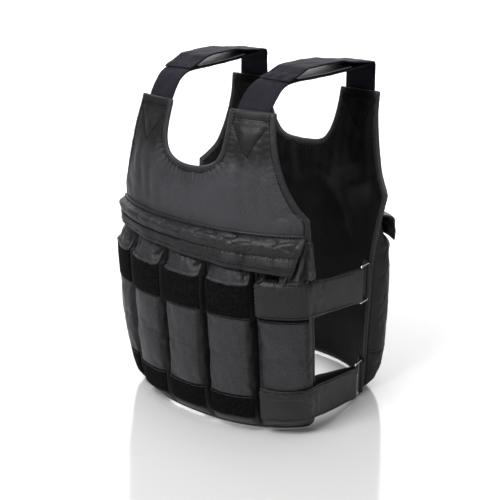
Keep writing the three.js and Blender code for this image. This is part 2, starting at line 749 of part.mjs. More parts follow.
// A closed body from its points and faces, turned to face outwards.
function closedLoop(name, finish, points, faces) {
  let volume = 0;
  const cross = new THREE.Vector3();
  for (const [a, b, c] of faces) {
    volume += points[a].dot(cross.crossVectors(points[b], points[c]));
  }
  const turned = volume < 0 ? faces.map(([a, b, c]) => [a, c, b]) : faces;
  const geometry = new THREE.BufferGeometry();
  const flat = points.flatMap((p) => [p.x, p.y, p.z]);
  geometry.setAttribute('position', new THREE.Float32BufferAttribute(flat, 3));
  geometry.setIndex(turned.flat());
  geometry.computeVertexNormals();
  const mesh = new THREE.Mesh(geometry, new THREE.MeshStandardMaterial(FINISH[finish]));
  mesh.name = name;
  return mesh;
}

// The same piece on the other side of the vest.
function mirrored(mesh) {
  const geometry = mesh.geometry.clone();
  geometry.scale(-1, 1, 1);
  const index = Array.from(geometry.index.array);
  for (let i = 0; i < index.length; i += 3) {
    [index[i + 1], index[i + 2]] = [index[i + 2], index[i + 1]];
  }
  geometry.setIndex(index);
  geometry.computeVertexNormals();
  const other = new THREE.Mesh(geometry, mesh.material.clone());
  other.name = mesh.name.replace('left', 'right');
  return other;
}

// The two layers of the left shoulder strap and the hook tape between them.
function shoulderSet() {
  const under = PANEL_THICKNESS / 2 + CLEARANCE + 0.5 + STRAP_THICKNESS / 2;
  const frontMiddle = FRONT_TAB_INNER + FRONT_TAB_WIDTH * STRAP_FRONT_SHARE;
  const backMiddle = BACK_TAB_INNER + BACK_TAB_WIDTH * STRAP_BACK_SHARE;
  const onFront = (share, d) => FRONT.point(frontMiddle + share * WEB_WIDTH, BODY_HEIGHT - d, -under);
  const onBack = (share, d) => BACK.point(backMiddle + share * WEB_WIDTH, BODY_HEIGHT - d, under);
  const back = course(STRAP_COURSE, 'back');
  const up = course(STRAP_COURSE, 'up');
  const gap = curve(STRAP_GAP, 'at', 'gap');
  const behind = onBack(0, 0).y;
  const ahead = onFront(0, 0).y;
  const reach = back(1);
  const endY = ahead + (behind - ahead) * reach;
  const fromY = ahead + (behind - ahead) * STRAP_OVERLAP;
  const shares = [-0.5, 0, 0.5];

  // Lower layer: from inside the front tab up and over towards the back.
  const steps = 20;
  const crown = (share) => {
    const start = onFront(share, 0);
    const finish = onBack(share, 0);
    const points = [];
    for (let i = 1; i <= steps; i += 1) {
      const t = back(i / steps) / reach;
      points.push(new THREE.Vector3(
        start.x + (finish.x - start.x) * t,
        start.y + (endY - start.y) * t,
        BODY_HEIGHT + CROWN_RISE * up(i / steps) + STRAP_THICKNESS / 2,
      ));
    }
    return points;
  };
  const lowerRow = (share) => [
    onFront(share, STRAP_SEWN), onFront(share, STRAP_SEWN / 2), onFront(share, 0), ...crown(share),
  ];
  const lower = sheet('front_shoulder_strap_left', 'webbing', shares.map(lowerRow), STRAP_THICKNESS);

  // A point over the lower layer at a place along it, raised by some height.
  const over = (share, y, rise) => {
    const line = crown(share);
    const width = WEB_WIDTH * share;
    const middle = crown(0);
    const z = curve(line, 'y', 'z')(y);
    return new THREE.Vector3(curve(middle, 'y', 'x')(y) + width, y, z + rise);
  };

  // Upper layer: from outside the back tab up, folded, and forward over the lower.
  const layer = STRAP_THICKNESS + CLEARANCE + 0.25;
  const upperRow = (share) => {
    const line = [];
    const run = 18;
    for (let i = 0; i <= run; i += 1) {
      const t = i / run;
      line.push(over(share, fromY + (endY - fromY) * t, layer + STRAP_ARCH * gap(t)));
    }
    const end = line[line.length - 1];
    const foot = onBack(share, 0);
    const corner = foot.y - end.y;
    for (const [forth, down] of [[0.45, 0.3], [0.8, 1.2], [0.95, 3.4], [1.0, 7.5]]) {
      const x = end.x + (foot.x - end.x) * forth;
      line.push(new THREE.Vector3(x, end.y + corner * forth, end.z - down));
    }
    line.push(new THREE.Vector3(foot.x, foot.y, (end.z + BODY_HEIGHT) / 2));
    line.push(foot, onBack(share, STRAP_SEWN / 2), onBack(share, STRAP_SEWN));
    return line;
  };
  const upper = sheet('back_shoulder_strap_left', 'webbing', shares.map(upperRow), STRAP_THICKNESS);

  // Hook tape on top of the lower layer, where the two layers stand apart.
  const tapeRise = STRAP_THICKNESS / 2 + CLEARANCE + 0.15 + HOOK_THICKNESS / 2;
  const tapeRow = (share) => {
    const tape = [];
    for (let i = 0; i <= 9; i += 1) {
      const t = 0.14 + 0.66 * (i / 9);
      tape.push(over(share, fromY + (endY - fromY) * t, tapeRise));
    }
    return tape;
  };
  const tapeShares = shares.map((share) => (share * HOOK_WIDTH) / WEB_WIDTH);
  const hook = sheet('hook_tape_left', 'hook', tapeShares.map(tapeRow), HOOK_THICKNESS);
  return [lower, upper, hook];
}

const vest = new THREE.Group();
vest.name = 'weighted_vest';

vest.add(panelBody('front_panel', FRONT, {
  neck: FRONT_NECK,
  arm: FRONT_ARM,
  armDrop: FRONT_ARM_DROP,
  armpitInset: FRONT_ARMPIT_INSET,
  neckDrop: FRONT_NECK_DROP,
  tabInner: FRONT_TAB_INNER,
  tabWidth: FRONT_TAB_WIDTH,
}));
vest.add(panelBody('back_panel', BACK, {
  neck: BACK_NECK,
  arm: BACK_ARM,
  armDrop: BACK_ARM_DROP,
  armpitInset: -BACK_ARMPIT_FLARE,
  neckDrop: BACK_NECK_DROP,
  tabInner: BACK_TAB_INNER,
  tabWidth: BACK_TAB_WIDTH,
}));
for (let k = 1; k <= POCKETS; k += 1) {
  const place = k - (POCKETS + 1) / 2;
  const front = new Pocket(FRONT, FRONT_PITCH, FRONT_POCKET_DEPTH, FRONT_POCKET_FORM, place);
  vest.add(front.body(`front_pocket_${k}`));
  vest.add(front.band(`front_band_upper_${k}`, UPPER_BAND_TOP, UPPER_BAND_HEIGHT));
  vest.add(front.band(`front_band_lower_${k}`, LOWER_BAND_TOP, LOWER_BAND_HEIGHT));
  const back = new Pocket(BACK, BACK_PITCH, BACK_POCKET_DEPTH, BACK_POCKET_FORM, place);
  vest.add(back.body(`back_pocket_${k}`));
}
vest.add(
  flapBody('front_flap', FRONT, FRONT_PITCH, FRONT_FLAP_TOP, FRONT_FLAP_REACH, FRONT_FLAP_INSET),
  flapBody('back_flap', BACK, BACK_PITCH, BACK_FLAP_TOP, BACK_FLAP_REACH, BACK_FLAP_INSET),
);
// On the wearer's left the side straps lie over the pockets, on the right they do not.
vest.add(...sideSet('upper', UPPER_RING_Z, UPPER_SEWN_Z, true));
vest.add(...sideSet('lower', LOWER_RING_Z, LOWER_SEWN_Z, true));
vest.add(...sideSet('upper', UPPER_RING_Z, UPPER_SEWN_Z, false).map(mirrored));
vest.add(...sideSet('lower', LOWER_RING_Z, LOWER_SEWN_Z, false).map(mirrored));
for (const piece of shoulderSet()) vest.add(piece, mirrored(piece));

// From hem height and panel middle to the origin under the shoulder straps.
const crownY = (FRONT.point(FRONT_TAB_INNER, BODY_HEIGHT).y + BACK.point(BACK_TAB_INNER, BODY_HEIGHT).y) / 2;
for (const mesh of vest.children) {
  mesh.geometry.translate(0, -crownY, -(BODY_HEIGHT + CROWN_RISE));
}

export default vest;
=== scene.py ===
"""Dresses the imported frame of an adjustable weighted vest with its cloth, webbing and wire.

Shapes are worked out in millimetres, with +Z up from the hem, the wearer facing -Y and
+X on the wearer's left, and are moved to the row frame in metres when a mesh is made.
"""

from __future__ import annotations

import logging
import math
from dataclasses import dataclass, field
from enum import Enum
from typing import Any, Callable, Sequence

import bpy
import numpy as np
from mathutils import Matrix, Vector
from mathutils.bvhtree import BVHTree

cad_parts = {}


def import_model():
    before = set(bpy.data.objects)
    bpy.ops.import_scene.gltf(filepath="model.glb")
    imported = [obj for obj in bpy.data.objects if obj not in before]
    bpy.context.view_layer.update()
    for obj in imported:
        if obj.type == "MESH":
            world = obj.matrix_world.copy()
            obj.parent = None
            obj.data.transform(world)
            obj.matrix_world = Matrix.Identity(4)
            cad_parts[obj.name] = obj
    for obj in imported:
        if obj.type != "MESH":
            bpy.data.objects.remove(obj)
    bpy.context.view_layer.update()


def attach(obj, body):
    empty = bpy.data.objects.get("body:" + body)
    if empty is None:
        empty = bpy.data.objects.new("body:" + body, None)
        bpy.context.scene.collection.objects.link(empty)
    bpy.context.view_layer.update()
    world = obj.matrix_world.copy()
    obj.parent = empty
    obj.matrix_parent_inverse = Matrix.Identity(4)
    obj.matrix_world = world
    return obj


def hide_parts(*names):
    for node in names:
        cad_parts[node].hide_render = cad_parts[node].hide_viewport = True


LOG = logging.getLogger("weighted_vest")
Array = np.ndarray

BODY = "root"
ORIGIN = np.array([0.0, 22.198, 486.0])
MM = 0.001
WAVE_COUNT = 8
WAVE_HEIGHT = 2.8
CREASE_BEYOND = 0.12
CREASE_FADE = 0.3
# Painted highlight along every cloth rim, where the edge catches light.
RIM_HIGHLIGHT = 0.7
SWEPT_RADIUS = 1.6


class Slot(Enum):
    """The record's material slots."""

    CLOTH = "vest_cloth"
    BAND = "band"
    WEBBING = "webbing"
    HOOK = "hook_tape"
    CHROME = "chrome"


class Side(Enum):
    """Which panel of the vest a piece belongs to: the sign of its outside along Y."""

    FRONT = -1
    BACK = 1


# Curves and tables


def smooth_curve(at: Sequence[float], value: Sequence[float]) -> Callable[[Any], Array]:
    """A smooth curve without overshoot through a table's rows.

    Args:
        at: The places of the rows, rising.
        value: The values there.

    Returns:
        A function of a place, which goes on straight beyond both ends.
    """
    x = np.asarray(at, float)
    y = np.asarray(value, float)
    slope = np.diff(y) / np.diff(x)
    tangent = np.zeros_like(y)
    tangent[0], tangent[-1] = slope[0], slope[-1]
    for i in range(1, len(x) - 1):
        a, b = slope[i - 1], slope[i]
        tangent[i] = 0.0 if a * b <= 0 else 2 * a * b / (a + b)

    def evaluate(place: Any) -> Array:
        """The curve's value at a place or an array of places."""
        v = np.asarray(place, float)
        i = np.clip(np.searchsorted(x, v, side="right") - 1, 0, len(x) - 2)
        h = x[i + 1] - x[i]
        t = np.clip((v - x[i]) / h, 0, 1)
        inside = (
            (1 + 2 * t) * (1 - t) ** 2 * y[i]
            + t * (1 - t) ** 2 * h * tangent[i]
            + t * t * (3 - 2 * t) * y[i + 1]
            + t * t * (t - 1) * h * tangent[i + 1]
        )
        low = y[0] + tangent[0] * (v - x[0])
        high = y[-1] + tangent[-1] * (v - x[-1])
        return np.where(v <= x[0], low, np.where(v >= x[-1], high, inside))

    return evaluate


def even_curve(value: Sequence[float]) -> Callable[[Any], Array]:
    """A smooth curve over 0 to 1 through evenly spaced values."""
    return smooth_curve(np.linspace(0, 1, len(value)), value)


def hill(value: Array, middle: float, width: float) -> Array:
    """A soft hill, one high, around a middle."""
    return np.exp(-(((value - middle) / width) ** 2))


def lengths(path: Array) -> Array:
    """How far along a line each of its points lies."""
    return np.concatenate([[0], np.cumsum(np.linalg.norm(np.diff(path, axis=0), axis=1))])


def directions(path: Array) -> Array:
    """A line's unit direction at each of its points."""
    along = np.gradient(path, axis=0)
    return along / np.maximum(np.linalg.norm(along, axis=1), 1e-9)[:, None]


def between(table: Array, row: Array, column: Array) -> Array:
    """A table's values between its rows and columns.

    Args:
        table: Numbers or vectors by row and column.
        row: Places between the rows' numbers.
        column: Places between the columns' numbers.

    Returns:
        The values there.
    """
    i = np.minimum(np.floor(row).astype(int), table.shape[0] - 2)
    j = np.minimum(np.floor(column).astype(int), table.shape[1] - 2)
    a, b = row - i, column - j
    if table.ndim > 2:
        a, b = a[..., None], b[..., None]
    low = table[i, j] * (1 - b) + table[i, j + 1] * b
    high = table[i + 1, j] * (1 - b) + table[i + 1, j + 1] * b
    return low * (1 - a) + high * a


def waves(u: Array, z: Array, size: float, seed: int, lean: tuple[float, float] = (0.0, 180.0)) -> Array:
    """Soft irregular waves over a surface, about one unit high.

    Args:
        u: Places along the cloth.
        z: Heights.
        size: Usual distance between two crests.
        seed: Seed of the waves' directions and places.
        lean: Range of the crests' direction in degrees from upright.

    Returns:
        Heights of the waves.
    """
    rng = np.random.default_rng(seed)
    total = np.zeros(np.broadcast(u, z).shape)
    for _ in range(WAVE_COUNT):
        lean_at = math.radians(rng.uniform(*lean))
        wave = 2 * math.pi / (size * rng.uniform(0.65, 1.6))
        phase = rng.uniform(0, 2 * math.pi)
        total = total + np.sin(wave * (u * math.cos(lean_at) - z * math.sin(lean_at)) + phase)
    return total / WAVE_HEIGHT


@dataclass(frozen=True)
class Crease:
    """A fold that runs over a piece of cloth from one place to another, in millimetres."""

    u0: float
    z0: float
    u1: float
    z1: float
    width: float
    height: float

    def over(self, u: Array, z: Array) -> Array:
        """Height of the fold at places on the cloth."""
        du, dz = self.u1 - self.u0, self.z1 - self.z0
        size = du * du + dz * dz
        t = ((u - self.u0) * du + (z - self.z0) * dz) / size
        near = np.clip(t, 0, 1)
        gap = np.hypot(u - self.u0 - near * du, z - self.z0 - near * dz)
        fade = np.clip((np.minimum(t, 1 - t) + CREASE_BEYOND) / CREASE_FADE, 0, 1)
        return self.height * hill(gap, 0, self.width) * fade


@dataclass(frozen=True)
class Gather:
    """Small even gathers beside a seam: their height, middle, reach and pitch."""

    height: float
    middle: float
    reach: float
    pitch: float

    def over(self, gap: Array, run: Array, shift: Array | float = 0.0) -> Array:
        """Height of the gathers at distances from the seam and lengths along it."""
        beat = np.sin(run * 2 * math.pi / self.pitch + shift)
        return self.height * hill(gap, self.middle, self.reach) * beat


def relief(creases: Sequence[Crease], u: Array, z: Array) -> Array:
    """Summed height of several folds at places on the cloth."""
    total = np.zeros(np.broadcast(u, z).shape)
    for crease in creases:
        total = total + crease.over(u, z)
    return total


def scattered(seed: int, count: int, low: tuple[float, float], high: tuple[float, float],
              long: tuple[float, float], lean: tuple[float, float], width: tuple[float, float],
              height: float) -> list[Crease]:
    """Short folds strewn over a field of cloth.

    Args:
        seed: Seed of their places.
        count: How many.
        low: The field's lowest u and z.
        high: The field's highest u and z.
        long: Range of lengths.
        lean: Range of directions in degrees from level.
        width: Range of widths.
        height: Greatest height, up or down.

    Returns:
        The folds.
    """
    rng = np.random.default_rng(seed)
    folds = []
    for _ in range(count):
        u, z = rng.uniform(low[0], high[0]), rng.uniform(low[1], high[1])
        angle, run = math.radians(rng.uniform(*lean)), rng.uniform(*long) / 2
        du, dz = math.cos(angle) * run, math.sin(angle) * run
        rise = rng.uniform(0.4, 1.0) * height * (1 if rng.random() < 0.5 else -1)
        folds.append(Crease(u - du, z - dz, u + du, z + dz, rng.uniform(*width), rise))
    return folds


def creases(*rows: tuple[float, ...]) -> list[Crease]:
    """Folds from rows of their numbers."""
    return [Crease(*row) for row in rows]


def strewn(fields: Sequence[tuple], shift: int = 0) -> list[Crease]:
    """The folds of several fields, each a row of what scattered takes, with their seeds moved by a shift."""
    return [fold for seed, *rest in fields for fold in scattered(seed + shift, *rest)]


# Sheets and solids


@dataclass
class Sheet:
    """A surface of cloth: its points, faces and places along the cloth in millimetres."""

    points: Array
    faces: Array
    flat: Array
    hold: Array | None = None
    cap: float = 3.0

    def crosses(self) -> Array:
        """Cross products of the faces' diagonals."""
        p, f = self.points, self.faces
        return np.cross(p[f[:, 2]] - p[f[:, 0]], p[f[:, 3]] - p[f[:, 1]])

    def normals(self) -> Array:
        """Unit normals at the points, weighted by the faces' areas."""
        cross = self.crosses()
        total = np.zeros_like(self.points)
        for k in range(4):
            np.add.at(total, self.faces[:, k], cross)
        return total / np.maximum(np.linalg.norm(total, axis=1), 1e-12)[:, None]

    def turn(self, place: int, outward: Sequence[float]) -> None:
        """Turns the faces round where the normal at a point looks inwards."""
        if self.normals()[place] @ np.asarray(outward) < 0:
            self.faces = self.faces[:, ::-1].copy()

    def raised(self, height: Array | float) -> Sheet:
        """The same sheet moved along its normals."""
        shift = self.normals() * np.broadcast_to(height, len(self.points))[:, None]
        return Sheet(self.points + shift, self.faces, self.flat, self.hold, self.cap)

    def rim(self) -> Array:
        """The directed edges at the sheet's border."""
        f = self.faces
        edges = np.concatenate([np.stack([f[:, k], f[:, (k + 1) % 4]], 1) for k in range(4)])
        edges = edges[edges[:, 0] != edges[:, 1]]
        key = edges[:, 0].astype(np.int64) * (len(self.points) + 1) + edges[:, 1]
        back = edges[:, 1].astype(np.int64) * (len(self.points) + 1) + edges[:, 0]
        return edges[~np.isin(key, back)]

    def area(self) -> float:
        """Area of one side in square metres."""
        return float(np.linalg.norm(self.crosses(), axis=1).sum() / 2) * MM * MM


def grid_sheet(points: Array, flat: Array, outward: Array | None = None, keep: Array | None = None,
               split: int | None = None) -> Sheet:
    """A sheet over a grid of points.

    Args:
        points: Shape (rows, columns, 3).
        flat: Places along the cloth, of shape (rows, columns, 2).
        outward: A direction on the outside of the sheet's middle, to turn its faces by.
        keep: Index of the point that each grid point stands for, where some are the same.
        split: Number of a column of faces that is left open.

    Returns:
        The sheet, its faces turned outwards.
    """
    rows, columns = points.shape[:2]
    index = np.arange(rows * columns).reshape(rows, columns) if keep is None else keep
    faces = np.stack([index[:-1, :-1], index[:-1, 1:], index[1:, 1:], index[1:, :-1]], -1)
    if outward is not None:
        p = points.reshape(-1, 3)[faces[rows // 2, columns // 2]]
        if np.cross(p[2] - p[0], p[3] - p[1]) @ outward < 0:
            faces = faces[..., ::-1]
    if split is not None:
        faces = np.delete(faces, split, axis=1)
    used, faces = np.unique(faces.reshape(-1), return_inverse=True)
    faces = faces.reshape(-1, 4)
    return Sheet(points.reshape(-1, 3)[used], faces, flat.reshape(-1, 2)[used])


def closed_solid(sheet: Sheet, thick: Array | float, round_rim: float = 0.45) -> tuple[Array, list, Array]:
    """Gives a sheet its thickness, with a rounded rim.

    Args:
        sheet: The middle surface.
        thick: Thickness at its points.
        round_rim: How far the rim stands out, as a share of the thickness.

    Returns:
        Points, faces and places along the cloth of a closed body.
    """
    thick = np.broadcast_to(np.asarray(thick, float), len(sheet.points))
    normal = sheet.normals()
    outer = sheet.points + normal * thick[:, None] / 2
    inner = sheet.points - normal * thick[:, None] / 2
    rim = sheet.rim()
    out = np.zeros_like(sheet.points)
    along = sheet.points[rim[:, 1]] - sheet.points[rim[:, 0]]
    side = np.cross(along, normal[rim[:, 0]])
    for k in range(2):
        np.add.at(out, rim[:, k], side)
    out /= np.maximum(np.linalg.norm(out, axis=1), 1e-9)[:, None]
    count = len(sheet.points)
    used = np.unique(rim)
    place = np.full(count, -1)
    place[used] = 2 * count + np.arange(len(used))
    edge = (sheet.points + out * thick[:, None] * round_rim)[used]
    a, b = rim[:, 0], rim[:, 1]
    faces = np.concatenate([
        sheet.faces,
        sheet.faces[:, ::-1] + count,
        np.stack([b, a, place[a], place[b]], 1),
        np.stack([place[b], place[a], a + count, b + count], 1),
    ])
    points = np.concatenate([outer, inner, edge])
    flat = np.concatenate([sheet.flat, sheet.flat, sheet.flat[used]])
    return points, faces.tolist(), flat


def placed(name: str, data: Any) -> bpy.types.Object:
    """A new object in the scene."""
    thing = bpy.data.objects.new(name, data)
    bpy.context.scene.collection.objects.link(thing)
    return thing


def riding(name: str, mesh: bpy.types.Mesh, slot: Slot) -> bpy.types.Object:
    """A smooth piece that rides on the vest's body."""
    mesh.polygons.foreach_set("use_smooth", np.ones(len(mesh.polygons), bool))
    piece = placed(name, mesh)
    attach(piece, BODY)
    LOG.info("%s: %d faces", name, len(mesh.polygons))
    return piece


def make_piece(name: str, points: Array, faces: list, flat: Array, finish: bpy.types.Material,
               slot: Slot, painted_shading: Array | None = None, lining_and_shade: bpy.types.Material | None = None,
               lined: range = range(0)) -> bpy.types.Object:
    """A mesh object in the row frame.

    Args:
        name: Name of the piece.
        points: Its points in millimetres.
        faces: Lists of point indices.
        flat: Places along the cloth in millimetres, for its UV map.
        finish: Material.
        slot: The record's slot; not used.
        painted_shading: Painted light and shade at each point: about 1 for painted highlights on crests and
            rims, -1 for painted shade in hollows.
        lining_and_shade: Material of the faces inside, where it differs; the panels' dark lining also stands
            for painted shade inside the vest.
        lined: Their numbers.

    Returns:
        The object, riding on the vest's body.
    """
    faces = [[f[k] for k in range(len(f)) if f[k] != f[k - 1]] for f in faces]
    mesh = bpy.data.meshes.new(name)
    mesh.from_pydata(((points - ORIGIN) * MM).tolist(), [], faces)
    layer = mesh.uv_layers.new(name="cloth")
    loops = np.empty(len(mesh.loops), np.int32)
    mesh.loops.foreach_get("vertex_index", loops)
    layer.data.foreach_set("uv", (flat[loops] * MM).astype(np.float32).ravel())
    # each point carries its painted light and shade, which the materials turn into lighter or darker colour
    attribute = mesh.attributes.new("painted_shading", "FLOAT", "POINT")
    values = np.zeros(len(points)) if painted_shading is None else painted_shading
    attribute.data.foreach_set("value", values.astype(np.float32))
    mesh.materials.append(finish)
    if lining_and_shade:
        mesh.materials.append(lining_and_shade)
        mesh.polygons.foreach_set("material_index", np.isin(np.arange(len(faces)), lined).astype(np.int32))
    mesh.validate()
    mesh.update()
    return riding(name, mesh, slot)


def cloth_piece(name: str, sheet: Sheet, thick: Array | float, finish: bpy.types.Material, slot: Slot,
                painted_shading: Array | None = None, lining_and_shade: bpy.types.Material | None = None) -> bpy.types.Object:
    """A piece of cloth from its middle surface.

    Args:
        name: Name of the piece.
        sheet: Middle surface.
        thick: Thickness at its points.
        finish: Material.
        slot: The record's slot; not used.
        painted_shading: Painted light and shade at each point of the sheet.
        lining_and_shade: Material of its inside, where it differs; darker partly as painted shade.

    Returns:
        The object.
    """
    points, faces, flat = closed_solid(sheet, thick)
    rim = np.unique(sheet.rim())
    base = np.zeros(len(sheet.points)) if painted_shading is None else painted_shading
    # the rim points get at least the painted highlight of a lit edge
    shading_paint = np.concatenate([base, base, np.maximum(base[rim], RIM_HIGHLIGHT)])
    count = len(sheet.faces)
    return make_piece(name, points, faces, flat, finish, slot, shading_paint, lining_and_shade, range(count, 2 * count))


def swept_piece(name: str, rings: Array, closed: bool, finish: bpy.types.Material, slot: Slot,
                painted_shading: Array | None = None) -> bpy.types.Object:
    """A closed body from rings of points along a path.

    Args:
        name: Name of the piece.
        rings: Shape (stations, points of a ring, 3).
        closed: Whether the path runs back into itself.
        finish: Material.
        slot: The record's slot; not used.
        painted_shading: Painted light and shade, a number per ring point.

    Returns:
        The object.
    """
    stations, sides = rings.shape[:2]
    index = np.arange(stations * sides).reshape(stations, sides)
    ahead = np.roll(index, -1, axis=0) if closed else index[1:]
    here = index if closed else index[:-1]
    corners = [here, np.roll(here, -1, axis=1), np.roll(ahead, -1, axis=1), ahead]
    faces = np.stack(corners, -1).reshape(-1, 4).tolist()
    if not closed:
        faces.append(index[0, ::-1].tolist())
        faces.append(index[-1].tolist())
    points = rings.reshape(-1, 3)
    volume = 0.0
    for face in faces:
        for k in range(1, len(face) - 1):
            volume += np.dot(points[face[0]], np.cross(points[face[k]], points[face[k + 1]]))
    if volume < 0:
        faces = [face[::-1] for face in faces]
    run = lengths(rings.mean(1))
    round_it = np.linspace(0, 2 * math.pi * SWEPT_RADIUS, sides)
    flat = np.stack(np.broadcast_arrays(run[:, None], round_it[None, :]), -1).reshape(-1, 2)
    shading_paint = None if painted_shading is None else np.broadcast_to(painted_shading, (stations, sides)).reshape(-1)
    return make_piece(name, points, faces, flat, finish, slot, shading_paint)


# Materials


class Value:
    """A number that varies over a surface: a shader socket with arithmetic."""

    def __init__(self, nodes: Graph, socket: bpy.types.NodeSocket) -> None:
        """Wraps a socket of a graph."""
        self.graph = nodes
        self.socket = socket

    def _math(self, operation: str, *others: Any, swap: bool = False) -> Value:
        """A Math node on this value and others."""
        terms = [self, *others]
        if swap:
            terms = terms[::-1]
        node = self.graph.node("ShaderNodeMath", {"operation": operation}, dict(enumerate(terms)))
        return Value(self.graph, node.outputs[0])

    def __add__(self, other: Any) -> Value:
        """The sum."""
        return self._math("ADD", other)

    __radd__ = __add__

    def __mul__(self, other: Any) -> Value:
        """The product."""
        return self._math("MULTIPLY", other)

    __rmul__ = __mul__

    def __sub__(self, other: Any) -> Value:
        """The difference."""
        return self._math("SUBTRACT", other)

    def __rsub__(self, other: Any) -> Value:
        """The difference the other way round."""
        return self._math("SUBTRACT", other, swap=True)

    def __pow__(self, power: float) -> Value:
        """A power."""
        return self._math("POWER", power)

    def above(self, other: Any) -> Value:
        """One where this is greater, else zero."""
        return self._math("GREATER_THAN", other)

    def sine(self) -> Value:
        """The sine."""
        return self._math("SINE")

    def size(self) -> Value:
        """The value without its sign."""
        return self._math("ABSOLUTE")

    def kept(self) -> Value:
        """The value held between 0 and 1."""
        node = self.graph.node("ShaderNodeClamp", {}, {"Value": self})
        return Value(self.graph, node.outputs[0])


class Graph:
    """A material under construction."""

    def __init__(self, name: str) -> None:
        """Starts an empty node material."""
        self.material = bpy.data.materials.new(name)
        self.material.use_nodes = True
        self.tree = self.material.node_tree
        self.tree.nodes.clear()

    def node(self, kind: str, settings: dict[str, Any] | None = None,
             inputs: dict[Any, Any] | None = None) -> bpy.types.Node:
        """Adds a node.

        Args:
            kind: Its type.
            settings: Its properties, set first.
            inputs: Values or links of its sockets, by name or number.

        Returns:
            The node.
        """
        made = self.tree.nodes.new(kind)
        for key, value in (settings or {}).items():
            setattr(made, key, value)
        for key, value in (inputs or {}).items():
            target = made.inputs[key]
            if isinstance(value, Value):
                self.tree.links.new(value.socket, target)
            elif isinstance(value, bpy.types.NodeSocket):
                self.tree.links.new(value, target)
            else:
                target.default_value = value
        return made

    def place(self) -> bpy.types.NodeSocket:
        """Places in the object's own frame, in metres."""
        return self.node("ShaderNodeTexCoord").outputs["Object"]

    def flat(self) -> bpy.types.NodeSocket:
        """Places along and across the cloth, in metres."""
        return self.node("ShaderNodeUVMap", {"uv_map": "cloth"}).outputs[0]

    def parts(self, vector: bpy.types.NodeSocket) -> tuple[Value, Value]:
        """The first two parts of a vector."""
        split = self.node("ShaderNodeSeparateXYZ", {}, {0: vector})
        return Value(self, split.outputs[0]), Value(self, split.outputs[1])

    def painted_shading(self) -> Value:
        """The light and shade painted on the cloth's points."""
        return Value(self, self.node("ShaderNodeAttribute", {"attribute_name": "painted_shading"}).outputs["Fac"])

    def noise(self, scale: float, detail: float = 3.0) -> Value:
        """Soft noise between 0 and 1, with blotches of one over scale metres."""
        made = self.node("ShaderNodeTexNoise", {}, {"Vector": self.place(), "Scale": scale, "Detail": detail})
        return Value(self, made.outputs["Fac"])

    def blend(self, factor: Value, low: tuple, high: tuple) -> bpy.types.NodeSocket:
        """A colour between two others."""
        made = self.node("ShaderNodeMix", {"data_type": "RGBA"}, {0: factor, 6: low, 7: high})
        return made.outputs[2]

    def greys(self, factor: Value, low: float, high: float, warm: float = 0.0,
              cool: float = 0.0) -> bpy.types.NodeSocket:
        """A colour between two near-greys of one tint."""
        return self.blend(factor, linear(low, warm, cool), linear(high, warm, cool))

    def bump(self, height: Value, strength: float, distance: float,
             invert: bool = False) -> bpy.types.NodeSocket:
        """A normal that follows a height, over a distance in metres."""
        inputs = {"Strength": strength, "Distance": distance, "Height": height}
        return self.node("ShaderNodeBump", {"invert": invert}, inputs).outputs[0]

    def finish(self, colour: bpy.types.NodeSocket, roughness: Value | float,
               others: dict[str, Any]) -> bpy.types.Material:
        """Ends the material with its shader.

        Args:
            colour: Base colour.
            roughness: Roughness.
            others: Further inputs of the Principled shader.

        Returns:
            The material.
        """
        inputs = {"Base Color": colour, "Roughness": roughness, **others}
        body = self.node("ShaderNodeBsdfPrincipled", {}, inputs)
        end = self.node("ShaderNodeOutputMaterial")
        self.tree.links.new(body.outputs[0], end.inputs["Surface"])
        return self.material


def linear(grey: float, warm: float = 0.0, cool: float = 0.0) -> tuple[float, float, float, float]:
    """A near-grey colour, a little warmer or cooler."""
    return (grey * (1 + warm), grey, grey * (1 + cool), 1.0)


def sheen(weight: float, roughness: float, tint: tuple) -> dict[str, Any]:
    """The shader's inputs for a sheen."""
    return {"Sheen Weight": weight, "Sheen Roughness": roughness, "Sheen Tint": tint}


@dataclass(frozen=True)
class WovenCloth:
    """Plain-woven nylon with a soft sheen."""

    name: str
    grey: float
    pitch: float = 0.9
    cool: float = 0.05
    roughness: float = 0.56
    sheen: float = 0.25
    weave: float = 0.16
    specular: float = 0.45

    def made(self) -> bpy.types.Material:
        """Builds the material."""
        graph = Graph(self.name)
        u, v = graph.parts(graph.flat())
        thread = math.pi / (self.pitch * MM)
        across, along = (u * thread).sine(), (v * thread).sine()
        over = (across * along).above(0.0)
        yarn = over * across.size() + (1 - over) * along.size()
        patch, grain = graph.noise(34.0), graph.noise(430.0)
        # painted light and shade from the points, with the cloth's own patchy tone, grain and weave
        light = (graph.painted_shading() * 0.75 + patch * 0.3 + grain * 1.5 + yarn * 0.14 - 0.75).kept()
        colour = graph.greys(light, self.grey * 0.2, self.grey * 2.25, cool=self.cool)
        rough = patch * 0.14 + grain * 0.1 + (self.roughness - 0.12)
        return graph.finish(colour, rough, {
            "Normal": graph.bump(yarn + grain * 0.7, self.weave, 0.0004),
            "Specular IOR Level": self.specular,
            **sheen(self.sheen, 0.45, linear(0.5, cool=self.cool)),
        })


@dataclass(frozen=True)
class LoopFabric:
    """Matt brushed loop fabric, as on the bands."""

    name: str
    grey: float

    def made(self) -> bpy.types.Material:
        """Builds the material."""
        graph = Graph(self.name)
        fuzz, clump = graph.noise(470.0), graph.noise(190.0, 2.0)
        # painted light and shade from the points, with the loops' own fuzz and clumps
        light = (fuzz * 2.6 + clump * 0.9 + graph.painted_shading() * 0.2 - 1.4).kept()
        colour = graph.greys(light, self.grey * 0.35, self.grey * 2.3)
        return graph.finish(colour, 0.96, {
            "Normal": graph.bump(fuzz + clump * 0.6, 0.8, 0.0012),
            "Specular IOR Level": 0.03,
            **sheen(0.015, 0.7, linear(0.35)),
        })


